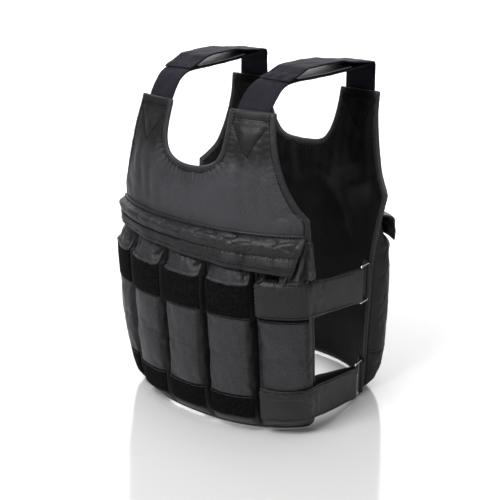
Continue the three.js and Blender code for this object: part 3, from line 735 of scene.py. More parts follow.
@dataclass(frozen=True)
class RibbedWebbing:
    """Flat webbing with fine ribs across it and lines along it."""

    name: str
    grey: float
    width: float = 50.0
    rib: float = 2.3
    cool: float = 0.12
    roughness: float = 0.5
    relief: float = 0.3
    specular: float = 0.42
    sheen: float = 0.1

    def made(self) -> bpy.types.Material:
        """Builds the material. The UV map runs along the strap, then across it from its middle."""
        graph = Graph(self.name)
        u, v = graph.parts(graph.flat())
        ribs = (u * (2 * math.pi / (self.rib * MM))).sine()
        lines = (v * (2 * math.pi / (2.4 * MM))).sine()
        edge = (v.size() * (2 / (self.width * MM))) ** 18.0
        patch, grain = graph.noise(40.0), graph.noise(480.0)
        # painted light and shade from the points, with the webbing's own ribs, lines, patches and grain
        light = ribs * 0.16 + lines * 0.16 + patch * 0.5 + grain * 1.3 + graph.painted_shading() * 0.7
        light = (light - edge * 0.3 - 0.72).kept()
        colour = graph.greys(light, self.grey * 0.35, self.grey * 1.9, 0.02, self.cool)
        return graph.finish(colour, patch * 0.15 + (self.roughness - 0.07), {
            "Normal": graph.bump(ribs * 0.5 + lines * 0.35 + grain * 0.5, self.relief, 0.0005),
            "Specular IOR Level": self.specular,
            **sheen(self.sheen, 0.4, linear(0.5, cool=self.cool)),
        })


@dataclass(frozen=True)
class HookTape:
    """Hook tape with rows of tiny hooks and pale edges."""

    name: str
    grey: float
    width: float = 40.0

    def made(self) -> bpy.types.Material:
        """Builds the material."""
        graph = Graph(self.name)
        flat = graph.flat()
        cells = graph.node("ShaderNodeTexVoronoi", {}, {"Vector": flat, "Scale": 620.0, "Randomness": 0.35})
        dot = Value(graph, cells.outputs["Distance"])
        edge = (graph.parts(flat)[1].size() * (2 / (self.width * MM))) ** 22.0
        light = (edge * 1.2 + (1 - dot) * 0.1 + graph.noise(60.0, 2.0) * 0.1 - 0.06).kept()
        colour = graph.greys(light, self.grey * 0.04, self.grey * 1.6, cool=0.08)
        return graph.finish(colour, 0.5, {
            "Normal": graph.bump(dot, 0.6, 0.0008, invert=True), "Specular IOR Level": 0.4,
        })


@dataclass(frozen=True)
class BrightWire:
    """Polished wire with faint drawing marks."""

    name: str

    def made(self) -> bpy.types.Material:
        """Builds the material."""
        graph = Graph(self.name)
        marks = graph.noise(420.0)
        colour = graph.blend(graph.noise(70.0, 2.0), linear(0.62, cool=0.02), linear(0.86, cool=0.01))
        return graph.finish(colour, marks * 0.1 + 0.08, {
            "Metallic": 1.0, "Normal": graph.bump(marks, 0.06, 0.0003),
        })


@dataclass(frozen=True)
class SewingThread:
    """Twisted sewing thread."""

    name: str
    grey: float

    def made(self) -> bpy.types.Material:
        """Builds the material."""
        graph = Graph(self.name)
        ply = graph.noise(1500.0, 1.0)
        colour = graph.greys(ply, self.grey * 0.6, self.grey * 1.4)
        return graph.finish(colour, ply * 0.2 + 0.7, {"Specular IOR Level": 0.05})


@dataclass(frozen=True)
class StudioFloor:
    """Pale floor with a soft gloss, which glows faintly inside the vest."""

    name: str
    grey: float = 0.62
    glow: tuple[float, float] = (0.15, 0.135)

    def made(self) -> bpy.types.Material:
        """Builds the material."""
        graph = Graph(self.name)
        patch = graph.noise(3.0, 1.0)
        x, y = (part * (1 / size) for part, size in zip(graph.parts(graph.place()), self.glow))
        ring = x * x + y * y
        return graph.finish(graph.greys(patch, self.grey, self.grey * 1.02), patch * 0.02 + 0.1, {
            "Specular IOR Level": 1.0, "Emission Strength": 1.0,
            "Emission Color": graph.greys((1.3 - ring).kept(), 0.0, 0.8),
        })


class Finishes:
    """Every finish of the vest, made once."""

    def __init__(self) -> None:
        """Makes the finishes."""
        self.shell = WovenCloth(
            "shell_cloth", 0.0165, cool=0.15, roughness=0.53, sheen=0.1, specular=0.34).made()
        # the panels' inside: a dark lining cloth, made darker still as painted shade for the shadowed inside
        # of the vest
        self.lining_and_shade = WovenCloth("lining_and_shade_cloth", 0.0055, roughness=0.62, sheen=0.01, specular=0.12).made()
        self.binding = WovenCloth(
            "binding_tape", 0.0105, cool=0.15, pitch=0.7, roughness=0.5, sheen=0.1, weave=0.25,
            specular=0.3).made()
        self.loop = LoopFabric("loop_band", 0.0042).made()
        self.side_web = RibbedWebbing("side_webbing", 0.0125, cool=0.03, specular=0.34).made()
        self.shoulder_web = RibbedWebbing(
            "shoulder_webbing", 0.0125, rib=1.8, cool=0.5, roughness=0.7, relief=0.12, specular=0.08,
            sheen=0.01).made()
        self.hook = HookTape("hook_tape", 0.42).made()
        self.wire = BrightWire("bright_wire").made()
        self.thread = SewingThread("dark_thread", 0.003).made()
        self.pale_thread = SewingThread("grey_thread", 0.12).made()


# Form of the two panels


@dataclass(frozen=True)
class FormRow:
    """A row of a panel's form: height share, heading at the edge, bow share and width share."""

    at: float
    turn: float
    bow: float
    wide: float


BODY_HEIGHT = 452.0
BODY_DEPTH = 257.0
PANEL_THICKNESS = 6.4
EDGE_THICKNESS = 3.6
CLEARANCE = 0.3
REST = PANEL_THICKNESS / 2 + CLEARANCE + 0.5
TURN_POWER = 1.4
MOST_TURN = 76.0
BEYOND_EDGE = 1.35


class ClothForm:
    """Where the cloth of a panel lies in space."""

    def __init__(self, side: Side, half: float, rows: Sequence[FormRow]) -> None:
        """Works out the level lines of the panel for every heading.

        Args:
            side: Front or back.
            half: Centre line to side edge, along the cloth.
            rows: The form's table.
        """
        self.side = side
        self.half = half
        at = [row.at * BODY_HEIGHT for row in rows]
        self.turn = smooth_curve(at, [row.turn for row in rows])
        self.bow = smooth_curve(at, [row.bow * BODY_DEPTH for row in rows])
        self.wide = smooth_curve(at, [row.wide for row in rows])
        self.turns = np.linspace(0, math.radians(MOST_TURN), 153)
        self.steps = np.linspace(0, half * BEYOND_EDGE, 203)
        middle = (self.steps[1:] + self.steps[:-1]) / 2
        heading = self.turns[:, None] * (middle / half)[None, :] ** TURN_POWER
        start = np.zeros((len(self.turns), 1))
        step = self.steps[1]
        self.run = np.concatenate([start, np.cumsum(np.cos(heading) * step, 1)], 1)
        self.drop = np.concatenate([start, np.cumsum(np.sin(heading) * step, 1)], 1)

    def point(self, u: Any, z: Any, off: Any = 0.0) -> Array:
        """Points of the cloth.

        Args:
            u: Along the cloth from the centre line.
            z: Height above the hem.
            off: Towards the outside from the middle surface.

        Returns:
            Points of shape (..., 3).
        """
        u, z, off = np.broadcast_arrays(np.asarray(u, float), np.asarray(z, float), np.asarray(off, float))
        turn = np.radians(self.turn(z))
        s = np.clip(np.abs(u) * self.wide(z), 0, self.steps[-1] - 1e-6)
        i, j = turn / self.turns[1], s / self.steps[1]
        heading = turn * (s / self.half) ** TURN_POWER
        x = np.sign(u) * (between(self.run, i, j) + np.sin(heading) * off)
        y = between(self.drop, i, j) - np.cos(heading) * off - self.bow(z)
        return np.stack([x, -self.side.value * y, z], -1)

    def on(self, line: Array, off: Any = 0.0) -> Array:
        """Points of the cloth at the places (u, z) of a line."""
        return self.point(line[:, 0], line[:, 1], off)

    def outward(self) -> Array:
        """Direction of the panel's outside at its centre line."""
        return np.array([0.0, float(self.side.value), 0.0])


FRONT_HALF = 185.0
BACK_HALF = 180.0
FRONT = ClothForm(Side.FRONT, FRONT_HALF, [
    FormRow(0.0, 57.9, 0.447, 1.0),
    FormRow(0.265, 48.9, 0.4615, 1.0),
    FormRow(0.53, 44.3, 0.4868, 1.0),
    FormRow(0.774, 38.1, 0.466, 1.0),
    FormRow(0.89, 33.5, 0.436, 1.0),
    FormRow(1.0, 28.5, 0.3755, 1.0),
])
BACK = ClothForm(Side.BACK, BACK_HALF, [
    FormRow(0.0, 64.0, 0.672, 0.99),
    FormRow(0.265, 50.4, 0.586, 1.0),
    FormRow(0.53, 37.6, 0.5309, 1.0),
    FormRow(0.774, 22.6, 0.55, 1.0),
    FormRow(1.0, 4.2, 0.5432, 1.0),
])


# Stitching

STITCH_REACH = 0.012


def stitch_tree(thread: bpy.types.Material) -> bpy.types.NodeTree:
    """A Geometry Nodes tree that lays a stitch at every step along lines.

    Args:
        thread: Material of the stitches.

    Returns:
        The tree, with inputs for the pitch, the stitch's length and the thread's radius.
    """
    tree = bpy.data.node_groups.new("stitch_rows", "GeometryNodeTree")
    tree.interface.new_socket("Lines", in_out="INPUT", socket_type="NodeSocketGeometry")
    for name in ("Pitch", "Stitch length", "Thread radius"):
        tree.interface.new_socket(name, in_out="INPUT", socket_type="NodeSocketFloat")
    tree.interface.new_socket("Stitches", in_out="OUTPUT", socket_type="NodeSocketGeometry")
    nodes = {name: tree.nodes.new(kind) for name, kind in (
        ("given", "NodeGroupInput"), ("lines", "GeometryNodeMeshToCurve"),
        ("spaced", "GeometryNodeResampleCurve"), ("bead", "GeometryNodeMeshUVSphere"),
        ("size", "ShaderNodeCombineXYZ"), ("half", "ShaderNodeMath"),
        ("shaped", "GeometryNodeTransform"), ("tangent", "GeometryNodeInputTangent"),
        ("turned", "FunctionNodeAlignRotationToVector"), ("placed", "GeometryNodeInstanceOnPoints"),
        ("real", "GeometryNodeRealizeInstances"), ("dressed", "GeometryNodeSetMaterial"),
        ("result", "NodeGroupOutput"),
    )}
    nodes["spaced"].mode = "LENGTH"
    nodes["half"].operation = "MULTIPLY"
    nodes["turned"].axis = "Z"
    for name, socket, value in (
        ("bead", "Segments", 5), ("bead", "Rings", 4), ("bead", "Radius", 1.0), ("half", 1, 0.5),
        ("dressed", "Material", thread),
    ):
        nodes[name].inputs[socket].default_value = value
    for source, output, target, socket in (
        ("given", "Lines", "lines", "Mesh"), ("lines", "Curve", "spaced", "Curve"),
        ("given", "Pitch", "spaced", "Length"), ("given", "Stitch length", "half", 0),
        ("given", "Thread radius", "size", "X"), ("given", "Thread radius", "size", "Y"),
        ("half", 0, "size", "Z"), ("bead", "Mesh", "shaped", "Geometry"), ("size", 0, "shaped", "Scale"),
        ("tangent", 0, "turned", "Vector"), ("spaced", "Curve", "placed", "Points"),
        ("shaped", "Geometry", "placed", "Instance"), ("turned", "Rotation", "placed", "Rotation"),
        ("placed", "Instances", "real", "Geometry"), ("real", "Geometry", "dressed", "Geometry"),
        ("dressed", "Geometry", "result", 0),
    ):
        tree.links.new(nodes[source].outputs[output], nodes[target].inputs[socket])
    return tree


@dataclass
class StitchRows:
    """Rows of stitches that lie on finished pieces."""

    name: str
    thread: bpy.types.Material
    slot: Slot = Slot.CLOTH
    pitch: float = 4.1
    length: float = 2.4
    radius: float = 0.66
    rows: list[Array] = field(default_factory=list)

    def on(self, piece: bpy.types.Object, rows: Sequence[Array], lift: float = 0.2) -> None:
        """Adds rows, each moved to the nearest place on a finished piece.

        Args:
            piece: The piece that the stitches lie on.
            rows: Lines of points in millimetres near its surface.
            lift: Height of the thread's middle above the surface.
        """
        mesh = piece.data
        tree = BVHTree.FromPolygons([v.co for v in mesh.vertices], [p.vertices[:] for p in mesh.polygons])
        for row in rows:
            laid = []
            for point in (row - ORIGIN) * MM:
                place, normal, _, gap = tree.find_nearest(Vector(point))
                if place is not None and gap < STITCH_REACH:
                    laid.append(place + normal * lift * MM)
            if len(laid) > 1:
                self.rows.append(np.array(laid))

    def made(self) -> bpy.types.Object:
        """Makes all the rows into one mesh."""
        points = np.concatenate(self.rows)
        edges, start = [], 0
        for row in self.rows:
            edges += [(start + i, start + i + 1) for i in range(len(row) - 1)]
            start += len(row)
        lines = bpy.data.meshes.new(self.name + "_lines")
        lines.from_pydata(points.tolist(), edges, [])
        guide = placed(self.name + "_guide", lines)
        tree = stitch_tree(self.thread)
        modifier = guide.modifiers.new("stitches", "NODES")
        modifier.node_group = tree
        sizes = {"Pitch": self.pitch, "Stitch length": self.length, "Thread radius": self.radius}
        for item in tree.interface.items_tree:
            if item.item_type == "SOCKET" and item.in_out == "INPUT" and item.name in sizes:
                modifier[item.identifier] = sizes[item.name] * MM
        graph = bpy.context.evaluated_depsgraph_get()
        mesh = bpy.data.meshes.new_from_object(guide.evaluated_get(graph))
        guide.modifiers.remove(modifier)
        bpy.data.objects.remove(guide)
        mesh.name = self.name
        if not mesh.materials:
            mesh.materials.append(self.thread)
        return riding(self.name, mesh, self.slot)


# Settling the cloth

SETTLE_FRAMES = 10
SETTLE_SCALE = 0.01


def settle(sheets: Sequence[Sheet], slack: float, pressure: float) -> None:
    """Lets sheets of cloth with a little too much cloth in them find their own folds.

    Args:
        sheets: The sheets, changed in place. Their hold tells where each is sewn.
        slack: Share of extra cloth.
        pressure: Push from the inside.
    """
    if not sheets:
        return
    points = np.concatenate([s.points for s in sheets])
    start = np.cumsum([0] + [len(s.points) for s in sheets])
    faces = np.concatenate([s.faces + start[i] for i, s in enumerate(sheets)])
    hold = np.concatenate([s.hold for s in sheets])
    mesh = bpy.data.meshes.new("settling")
    mesh.from_pydata((points * SETTLE_SCALE).tolist(), [], [list(dict.fromkeys(f)) for f in faces.tolist()])
    cloth = placed("settling", mesh)
    group = cloth.vertex_groups.new(name="sewn")
    for level in np.unique(np.round(hold, 2)):
        group.add(np.nonzero(np.round(hold, 2) == level)[0].tolist(), float(level), "REPLACE")
    modifier = cloth.modifiers.new("cloth", "CLOTH")
    for key, value in {
        "quality": 5, "mass": 0.3, "vertex_group_mass": "sewn", "shrink_min": -slack,
        "tension_stiffness": 30, "compression_stiffness": 30, "shear_stiffness": 8, "bending_stiffness": 1.2,
        "use_pressure": True, "uniform_pressure_force": pressure,
    }.items():
        setattr(modifier.settings, key, value)
    modifier.settings.effector_weights.gravity = 0
    modifier.collision_settings.use_self_collision = False
    modifier.collision_settings.use_collision = False
    modifier.point_cache.frame_start = 1
    modifier.point_cache.frame_end = SETTLE_FRAMES
    scene = bpy.context.scene
    for frame in range(1, SETTLE_FRAMES + 1):
        scene.frame_set(frame)
    settled = cloth.evaluated_get(bpy.context.evaluated_depsgraph_get())
    moved = np.empty(len(points) * 3)
    settled.data.vertices.foreach_get("co", moved)
    shift = moved.reshape(-1, 3) / SETTLE_SCALE - points
    scene.frame_set(1)
    bpy.data.objects.remove(cloth)
    bpy.data.meshes.remove(mesh)
    for i, sheet in enumerate(sheets):
        part = shift[start[i]:start[i + 1]]
        size = np.linalg.norm(part, axis=1)
        free = (1 - sheet.hold) * np.where(np.isfinite(size), 1, 0)
        limit = np.minimum(1, sheet.cap / np.maximum(size, 1e-6))
        sheet.points = sheet.points + np.nan_to_num(part) * (limit * np.clip(free * 1.5, 0, 1))[:, None]
        LOG.info("settled %d points, greatest move %.1f mm", len(part), float(np.nanmax(size)))


# Panels


@dataclass(frozen=True)
class PanelCut:
    """A panel's outline in millimetres along the cloth, with its neck and arm tables."""

    form: ClothForm
    neck_drop: float
    arm_drop: float
    armpit_inset: float
    tab_inner: float
    tab_width: float
    neck_across: tuple[float, ...]
    neck_up: tuple[float, ...]
    arm_across: tuple[float, ...]
    arm_up: tuple[float, ...]
    hem_corner: float = 12.0

    def neck_line(self, count: int) -> Array:
        """The left half of the neckline from its lowest point to the tab, as (u, z)."""
        t = np.linspace(0, 1, count)
        base = BODY_HEIGHT - self.neck_drop
        u = self.tab_inner * even_curve(self.neck_across)(t)
        return np.stack([u, base + self.neck_drop * even_curve(self.neck_up)(t)], 1)

    def arm_line(self, count: int) -> Array:
        """The left armhole from the armpit corner to the tab, as (u, z)."""
        t = np.linspace(0, 1, count)
        outer = self.tab_inner + self.tab_width
        u = outer + (self.form.half - outer) * even_curve(self.arm_across)(t)
        base = BODY_HEIGHT - self.arm_drop
        return np.stack([u, base + self.arm_drop * even_curve(self.arm_up)(t)], 1)

    def side_line(self, count: int) -> Array:
        """The left side edge from the hem's corner to the armpit, as (u, z)."""
        share = np.linspace(0, 1, count)
        inset = self.armpit_inset * np.maximum(0, (share - 0.77) / 0.23)
        top = BODY_HEIGHT - self.arm_drop
        return np.stack([self.form.half - inset, self.hem_corner + (top - self.hem_corner) * share], 1)

    def hem_line(self, count: int) -> Array:
        """The hem from the centre line round its left corner, as (u, z)."""
        straight = np.linspace(0, self.form.half - self.hem_corner, count)
        flat = np.stack([straight, np.zeros(count)], 1)
        angle = np.linspace(0, math.pi / 2, 7)[1:]
        bend = np.stack([
            self.form.half - self.hem_corner + self.hem_corner * np.sin(angle),
            self.hem_corner * (1 - np.cos(angle)),
        ], 1)
        return np.concatenate([flat, bend])


FRONT_CUT = PanelCut(
    form=FRONT, neck_drop=81, arm_drop=137, armpit_inset=6.5, tab_inner=53, tab_width=67,
    neck_across=(0.0, 0.32, 0.6, 0.83, 0.95, 1.0, 1.01, 1.0),
    neck_up=(0.0, 0.018, 0.07, 0.17, 0.31, 0.49, 0.7, 1.0),
    arm_across=(0.9, 0.7, 0.51, 0.36, 0.23, 0.12, 0.04, 0.0),
    arm_up=(0.0, 0.1, 0.24, 0.38, 0.54, 0.72, 0.88, 1.0),
)
BACK_CUT = PanelCut(
    form=BACK, neck_drop=88, arm_drop=139, armpit_inset=-5, tab_inner=70, tab_width=67,
    neck_across=(0.0, 0.3, 0.52, 0.67, 0.79, 0.88, 0.95, 1.0),
    neck_up=(0.0, 0.012, 0.06, 0.17, 0.34, 0.54, 0.76, 1.0),
    arm_across=(1.1, 0.8, 0.52, 0.34, 0.2, 0.07, 0.0, 0.0),
    arm_up=(0.0, 0.09, 0.2, 0.34, 0.48, 0.66, 0.84, 1.0),
)


def mirrored_creases(folds: Sequence[Crease]) -> list[Crease]:
    """The folds of one half and the same on the other half, a little changed."""
    return [*folds, *(
        Crease(-c.u0 * 1.04, c.z0 - 3, -c.u1 * 0.97, c.z1 + 2, c.width * 1.1, c.height * 0.85) for c in folds
    )]


def inset_line(line: Array, distance: float) -> Array:
    """A line moved to its left in the plane of the cloth.

    Args:
        line: Points (u, z).
        distance: How far.

    Returns:
        The moved line.
    """
    along = directions(line)
    return line + np.stack([-along[:, 1], along[:, 0]], 1) * distance


def distance_to(line: Array, u: Array, z: Array) -> tuple[Array, Array]:
    """Distance from places on the cloth to a line, and how far along it they lie.

    Args:
        line: Points (u, z) of the line.
        u: Places along the cloth.
        z: Heights.

    Returns:
        Distances and lengths along the line.
    """
    best = np.full(np.shape(u), np.inf)
    where = np.zeros(np.shape(u))
    run = 0.0
    for a, b in zip(line[:-1], line[1:]):
        d = b - a
        size = float(d @ d) or 1.0
        t = np.clip(((u - a[0]) * d[0] + (z - a[1]) * d[1]) / size, 0, 1)
        gap = np.hypot(u - a[0] - d[0] * t, z - a[1] - d[1] * t)
        nearer = gap < best
        best = np.where(nearer, gap, best)
        where = np.where(nearer, run + t * math.sqrt(size), where)
        run += math.sqrt(size)
    return best, where


SWELL_REACH = 16.0
TAB_FREE_FROM = 300.0
TAPE_STEP = 2.6
NECK_GATHER = Gather(0.75, 10, 8, 6.2)
ARM_GATHER = Gather(0.3, 10, 7, 8.5)
BINDING_PROFILE = (
    (8.6, 2.5), (7.6, 3.1), (5.6, 3.25), (3.4, 3.1), (1.0, 2.7), (-0.9, 1.4), (-1.3, 0.0),
    (-0.9, -1.4), (1.0, -2.7), (3.4, -3.1), (5.6, -3.25), (7.6, -3.1), (8.6, -2.5),
    (8.4, -2.1), (4.0, -1.9), (0.6, -1.4), (0.2, 0.0), (0.6, 1.4), (4.0, 1.9), (8.4, 2.1),
)
# Painted shade where the tape's inner edges meet the cloth, and a painted highlight over its rolled outer
# edge.
BINDING_SHADING = (-0.6, -0.2, 0.3, 0.35, 0.5, 0.7, 0.8, 0.7, 0.5, 0.35, 0.3, -0.2, -0.6, *[0.0] * 7)
BINDING_SEAM = 6.4


@dataclass
class VestPanel:
    """A padded panel with its bound edges and its stitching."""

    node: str
    cut: PanelCut
    creases: list[Crease]
    seed: int
    ripple: float
    apex: tuple[float, float]
    sheet: Sheet | None = None

    @property
    def name(self) -> str:
        """Name of the panel's cloth."""
        return self.node + "_cloth"

    def outline(self) -> tuple[Array, Array]:
        """The neckline and the outer edge of the left half, the latter from the hem to the tab."""
        neck = self.cut.neck_line(40)
        cut = self.cut
        outer = np.concatenate([cut.hem_line(30), cut.side_line(40)[1:], cut.arm_line(50)[1:]])
        return neck, outer

    def surface(self) -> Sheet:
        """The panel's middle surface, with its border held and its inside free to settle."""
        cut, half = self.cut, self.cut.form.half
        neck = cut.neck_line(64)
        arm = cut.arm_line(75)
        side = cut.side_line(45)
        angle = np.linspace(0, math.pi / 2, 7)
        corner = np.stack([
            half - cut.hem_corner * (1 - np.sin(angle)), cut.hem_corner * (1 - np.cos(angle)),
        ], 1)
        right = np.concatenate([corner, side[1:], arm[1:]])
        base = BODY_HEIGHT - cut.neck_drop
        rise = np.linspace(0, 1, len(right) - len(neck) + 1)
        left = np.concatenate([np.stack([np.zeros(len(rise)), base * rise], 1), neck[1:]])
        columns = np.linspace(0, 1, 80)[None, :, None]
        grid = left[:, None, :] * (1 - columns) + right[:, None, :] * columns
        flipped = grid[:, ::-1] * np.array([-1.0, 1.0])
        flat = np.concatenate([flipped, grid], 1)
        keep = np.arange(flat.shape[0] * flat.shape[1]).reshape(flat.shape[:2])
        middle = columns.size
        below = len(rise)
        keep[:below, middle] = keep[:below, middle - 1]
        u, z = flat[..., 0], flat[..., 1]
        sheet = grid_sheet(cut.form.point(u, z), flat, cut.form.outward(), keep, middle - 1)
        gap = self.border_gap(sheet.flat[:, 0], sheet.flat[:, 1])
        sheet.hold = np.where(sheet.flat[:, 1] < TAB_FREE_FROM, 1.0, np.clip(1.15 - gap / 22, 0, 1))
        sheet.cap = 2.2
        self.sheet = sheet
        return sheet

    def border_gap(self, u: Array, z: Array) -> Array:
        """Distance from places on the panel to its nearest edge."""
        neck, outer = self.outline()
        top = np.array([neck[-1], outer[-1]])
        gap = np.minimum(distance_to(outer, np.abs(u), z)[0], distance_to(top, np.abs(u), z)[0])
        return np.minimum(gap, distance_to(neck, np.abs(u), z)[0])

    def chevron(self) -> list[Array]:
        """The stitched lines on the left shoulder tab: two level rows and a pointed one, as (u, z)."""
        low, high = self.cut.tab_inner + 5.5, self.cut.tab_inner + self.cut.tab_width - 6
        rows = [np.array([[low, BODY_HEIGHT - drop], [high, BODY_HEIGHT - drop]]) for drop in (8.5, 11.5)]
        return [*rows, np.array([[low, BODY_HEIGHT - 13.5], self.apex, [high, BODY_HEIGHT - 13.5]])]

    def dress(self, finishes: Finishes) -> bpy.types.Object:
        """Makes the padded cloth with its folds, gathers and quilted lines."""
        sheet = self.sheet
        u, z = sheet.flat[:, 0], sheet.flat[:, 1]
        swell = np.clip(self.border_gap(u, z) / SWELL_REACH, 0, 1)
        swell = swell * (2 - swell)
        thick = EDGE_THICKNESS + (PANEL_THICKNESS - EDGE_THICKNESS) * swell
        neck, outer = self.outline()
        neck_gap, neck_run = distance_to(neck, np.abs(u), z)
        arm_gap, arm_run = distance_to(outer, np.abs(u), z)
        low_neck = np.clip((1.15 - neck_run / 90) * 1.4, 0.35, 1)
        gather = low_neck * NECK_GATHER.over(neck_gap, neck_run, np.sign(u))
        gather += ARM_GATHER.over(arm_gap, arm_run)
        height = relief(self.creases, u, z)
        height += self.ripple * waves(u, z, 26, self.seed, (-14, 14)) * np.clip((z - 290) / 40, 0, 1)
        height += 0.35 * waves(u, z, 60, self.seed + 5)
        seam = np.zeros(len(u))
        for row in self.chevron():
            line_gap = distance_to(row, np.abs(u), z)[0]
            height -= 0.9 * hill(line_gap, 0, 2.2)
            seam = np.maximum(seam, hill(line_gap, 0, 1.5))
        height = (height + gather) * swell
        # painted light and shade: on the back panel a painted highlight on the inside's folds over a slightly
        # darker ground; on the front a painted highlight over the chest, darker towards the neckline, lighter
        # on fold crests
        if self.cut.form.side is Side.BACK:
            painted_light = -0.1 - height * 0.4
        else:
            glow = hill(z, 322, 62) * hill(u, 75, 135)
            painted_light = 0.15 + 1.05 * glow - 0.8 * np.clip((z - 375) / 35, 0, 1) + height * 0.14
        # painted highlight on the gathers, painted shade in the chevron's stitch grooves
        painted_light = np.clip(painted_light + gather * 0.4 - seam * 0.8, -0.8, 1.2)
        piece = cloth_piece(self.name, sheet.raised(height), thick, finishes.shell, Slot.CLOTH, painted_light,
                            finishes.lining_and_shade)
        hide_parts(self.node)
        return piece

    def bindings(self, finishes: Finishes) -> list[bpy.types.Object]:
        """The tape folded over the panel's edges: the neckline, and the rest from tab to tab."""
        neck, outer = self.outline()
        pieces = []
        for name, line, inward in (("neck", neck, -1.0), ("edge", outer, 1.0)):
            whole = np.concatenate([line[::-1] * [-1, 1], line[1:]])
            pieces.append(self.tape(f"{self.name}_{name}_binding", whole, inward, finishes))
        return pieces

    def tape(self, name: str, line: Array, inward: float, finishes: Finishes) -> bpy.types.Object:
        """A binding tape along an edge.

        Args:
            name: Name of the piece.
            line: The edge's points (u, z).
            inward: Which side of the line the cloth lies on.
            finishes: The finishes.

        Returns:
            The object.
        """
        run = lengths(line)
        even = np.linspace(0, run[-1], int(run[-1] / TAPE_STEP))
        path = np.stack([np.interp(even, run, line[:, 0]), np.interp(even, run, line[:, 1])], 1)
        for _ in range(4):
            path[1:-1] = path[1:-1] * 0.5 + (path[:-2] + path[2:]) * 0.25
        along = directions(path)
        normal = np.stack([along[:, 1], -along[:, 0]], 1) * -inward
        pucker = 0.16 * np.sin(even * 2 * math.pi / 6.4) + 0.12 * np.sin(even * 2 * math.pi / 17 + 1)
        rings = []
        for depth, off in BINDING_PROFILE:
            place = path + normal * depth
            swell = np.where(abs(off) > 2.4, pucker * np.sign(off), 0)
            rings.append(self.cut.form.on(place, off + swell))
        grid = np.stack(rings, 1)
        return swept_piece(name, grid, False, finishes.binding, Slot.CLOTH, np.array(BINDING_SHADING))

    def stitch_lines(self, off: float) -> tuple[list[Array], list[Array]]:
        """Stitch rows for the bindings and for the cloth, as lines in space."""
        neck, outer = self.outline()
        edge, cloth = [], []
        share = np.linspace(0, 1, 24)[:, None]
        for sign in (1, -1):
            for line in (inset_line(outer, BINDING_SEAM), inset_line(neck, -BINDING_SEAM)):
                edge.append(self.cut.form.on(line * [sign, 1], off))
            for row in self.chevron():
                fine = np.concatenate([a + (b - a) * share for a, b in zip(row[:-1], row[1:])])
                cloth.append(self.cut.form.on(fine * [sign, 1], off))
        return edge, cloth


# Pockets and their bands

POCKETS = 5
MIDDLE_POCKET = 3
FRONT_DEPTH = 21.0
BACK_DEPTH = 29.0
FRONT_TOP = 286.0
BACK_TOP = 277.0
MOUTH_FROM = 220.0
MOUTH_STEP = 1.7
FACE_STEP = 3.0
POCKET_FOOT = 6.0
POCKET_HEIGHT = 248.0
FACE_SHARE = 0.78
POCKET_WALL = 1.8
BAND_THICKNESS = 1.4
BAND_REACH = 40.0
UPPER_BAND = (175.5, 225.0)
LOWER_BAND = (20.0, 57.0)
RIM_ACROSS = smooth_curve([0, 0.72, 0.86, 1], [-0.56, 0.5, 0.66, 0.8])
RIM_UP = smooth_curve([0, 0.3, 0.6, 0.74, 0.86, 1], [3.0, 1.2, 0.9, 1.5, 8.0, 20.0])
RIM_OUT = smooth_curve([0, 0.5, 0.72, 0.8, 1], [2.0, 1.9, 2.6, 3.2, 1.0])
SECTION_FACE = np.array([1.0, 1.0, 1.0, 0.62, 0.0])
SECTION_SIDE = np.array([1.0, 0.56, 0.0, 0.0, 0.0])
SECTION_OUT = np.array([0.0, 0.52, 0.81, 0.955, 1.0])


@dataclass(frozen=True)
class PocketRow:
    """A row of a pocket's upright form: height share, depth share and face share."""

    at: float
    deep: float
    face: float


FRONT_POCKET_ROWS = [PocketRow(*row) for row in (
    (0.0, 0.14, 0.96), (0.026, 0.44, 0.98), (0.0565, 0.65, 1.0), (0.125, 0.82, 1.0), (0.21, 0.9, 1.0),
    (0.45, 1.03, 0.97), (0.69, 1.0, 0.99), (0.88, 0.93, 0.99), (0.94, 0.68, 0.84), (1.0, 0.4, 0.72),
    (1.06, 0.28, 0.7), (1.1, 0.12, 0.72), (1.13, 0.02, 0.74),
)]
BACK_POCKET_ROWS = [PocketRow(*row) for row in (
    (0.0, 0.14, 0.96), (0.04, 0.5, 0.98), (0.122, 0.78, 1.0), (0.24, 0.9, 1.0), (0.5, 1.04, 0.97),
    (0.76, 1.08, 1.0), (0.9, 1.0, 0.92), (1.0, 0.5, 0.74), (1.06, 0.3, 0.72), (1.1, 0.04, 0.74),
)]


def through(values: Array, at: Array) -> Array:
    """Smooth values between numbered columns.

    Args:
        values: Shape (rows, columns).
        at: Places between the columns' numbers.

    Returns:
        Values of shape (rows, len(at)).
    """
    last = values.shape[1] - 1
    i = np.clip(np.floor(at).astype(int), 0, last - 1)
    t = at - i
    before, here = values[:, np.maximum(i - 1, 0)], values[:, i]
    ahead, beyond = values[:, i + 1], values[:, np.minimum(i + 2, last)]
    curved = 2 * before - 5 * here + 4 * ahead - beyond + t * (3 * (here - ahead) + beyond - before)
    return here + 0.5 * t * (ahead - before + t * curved)


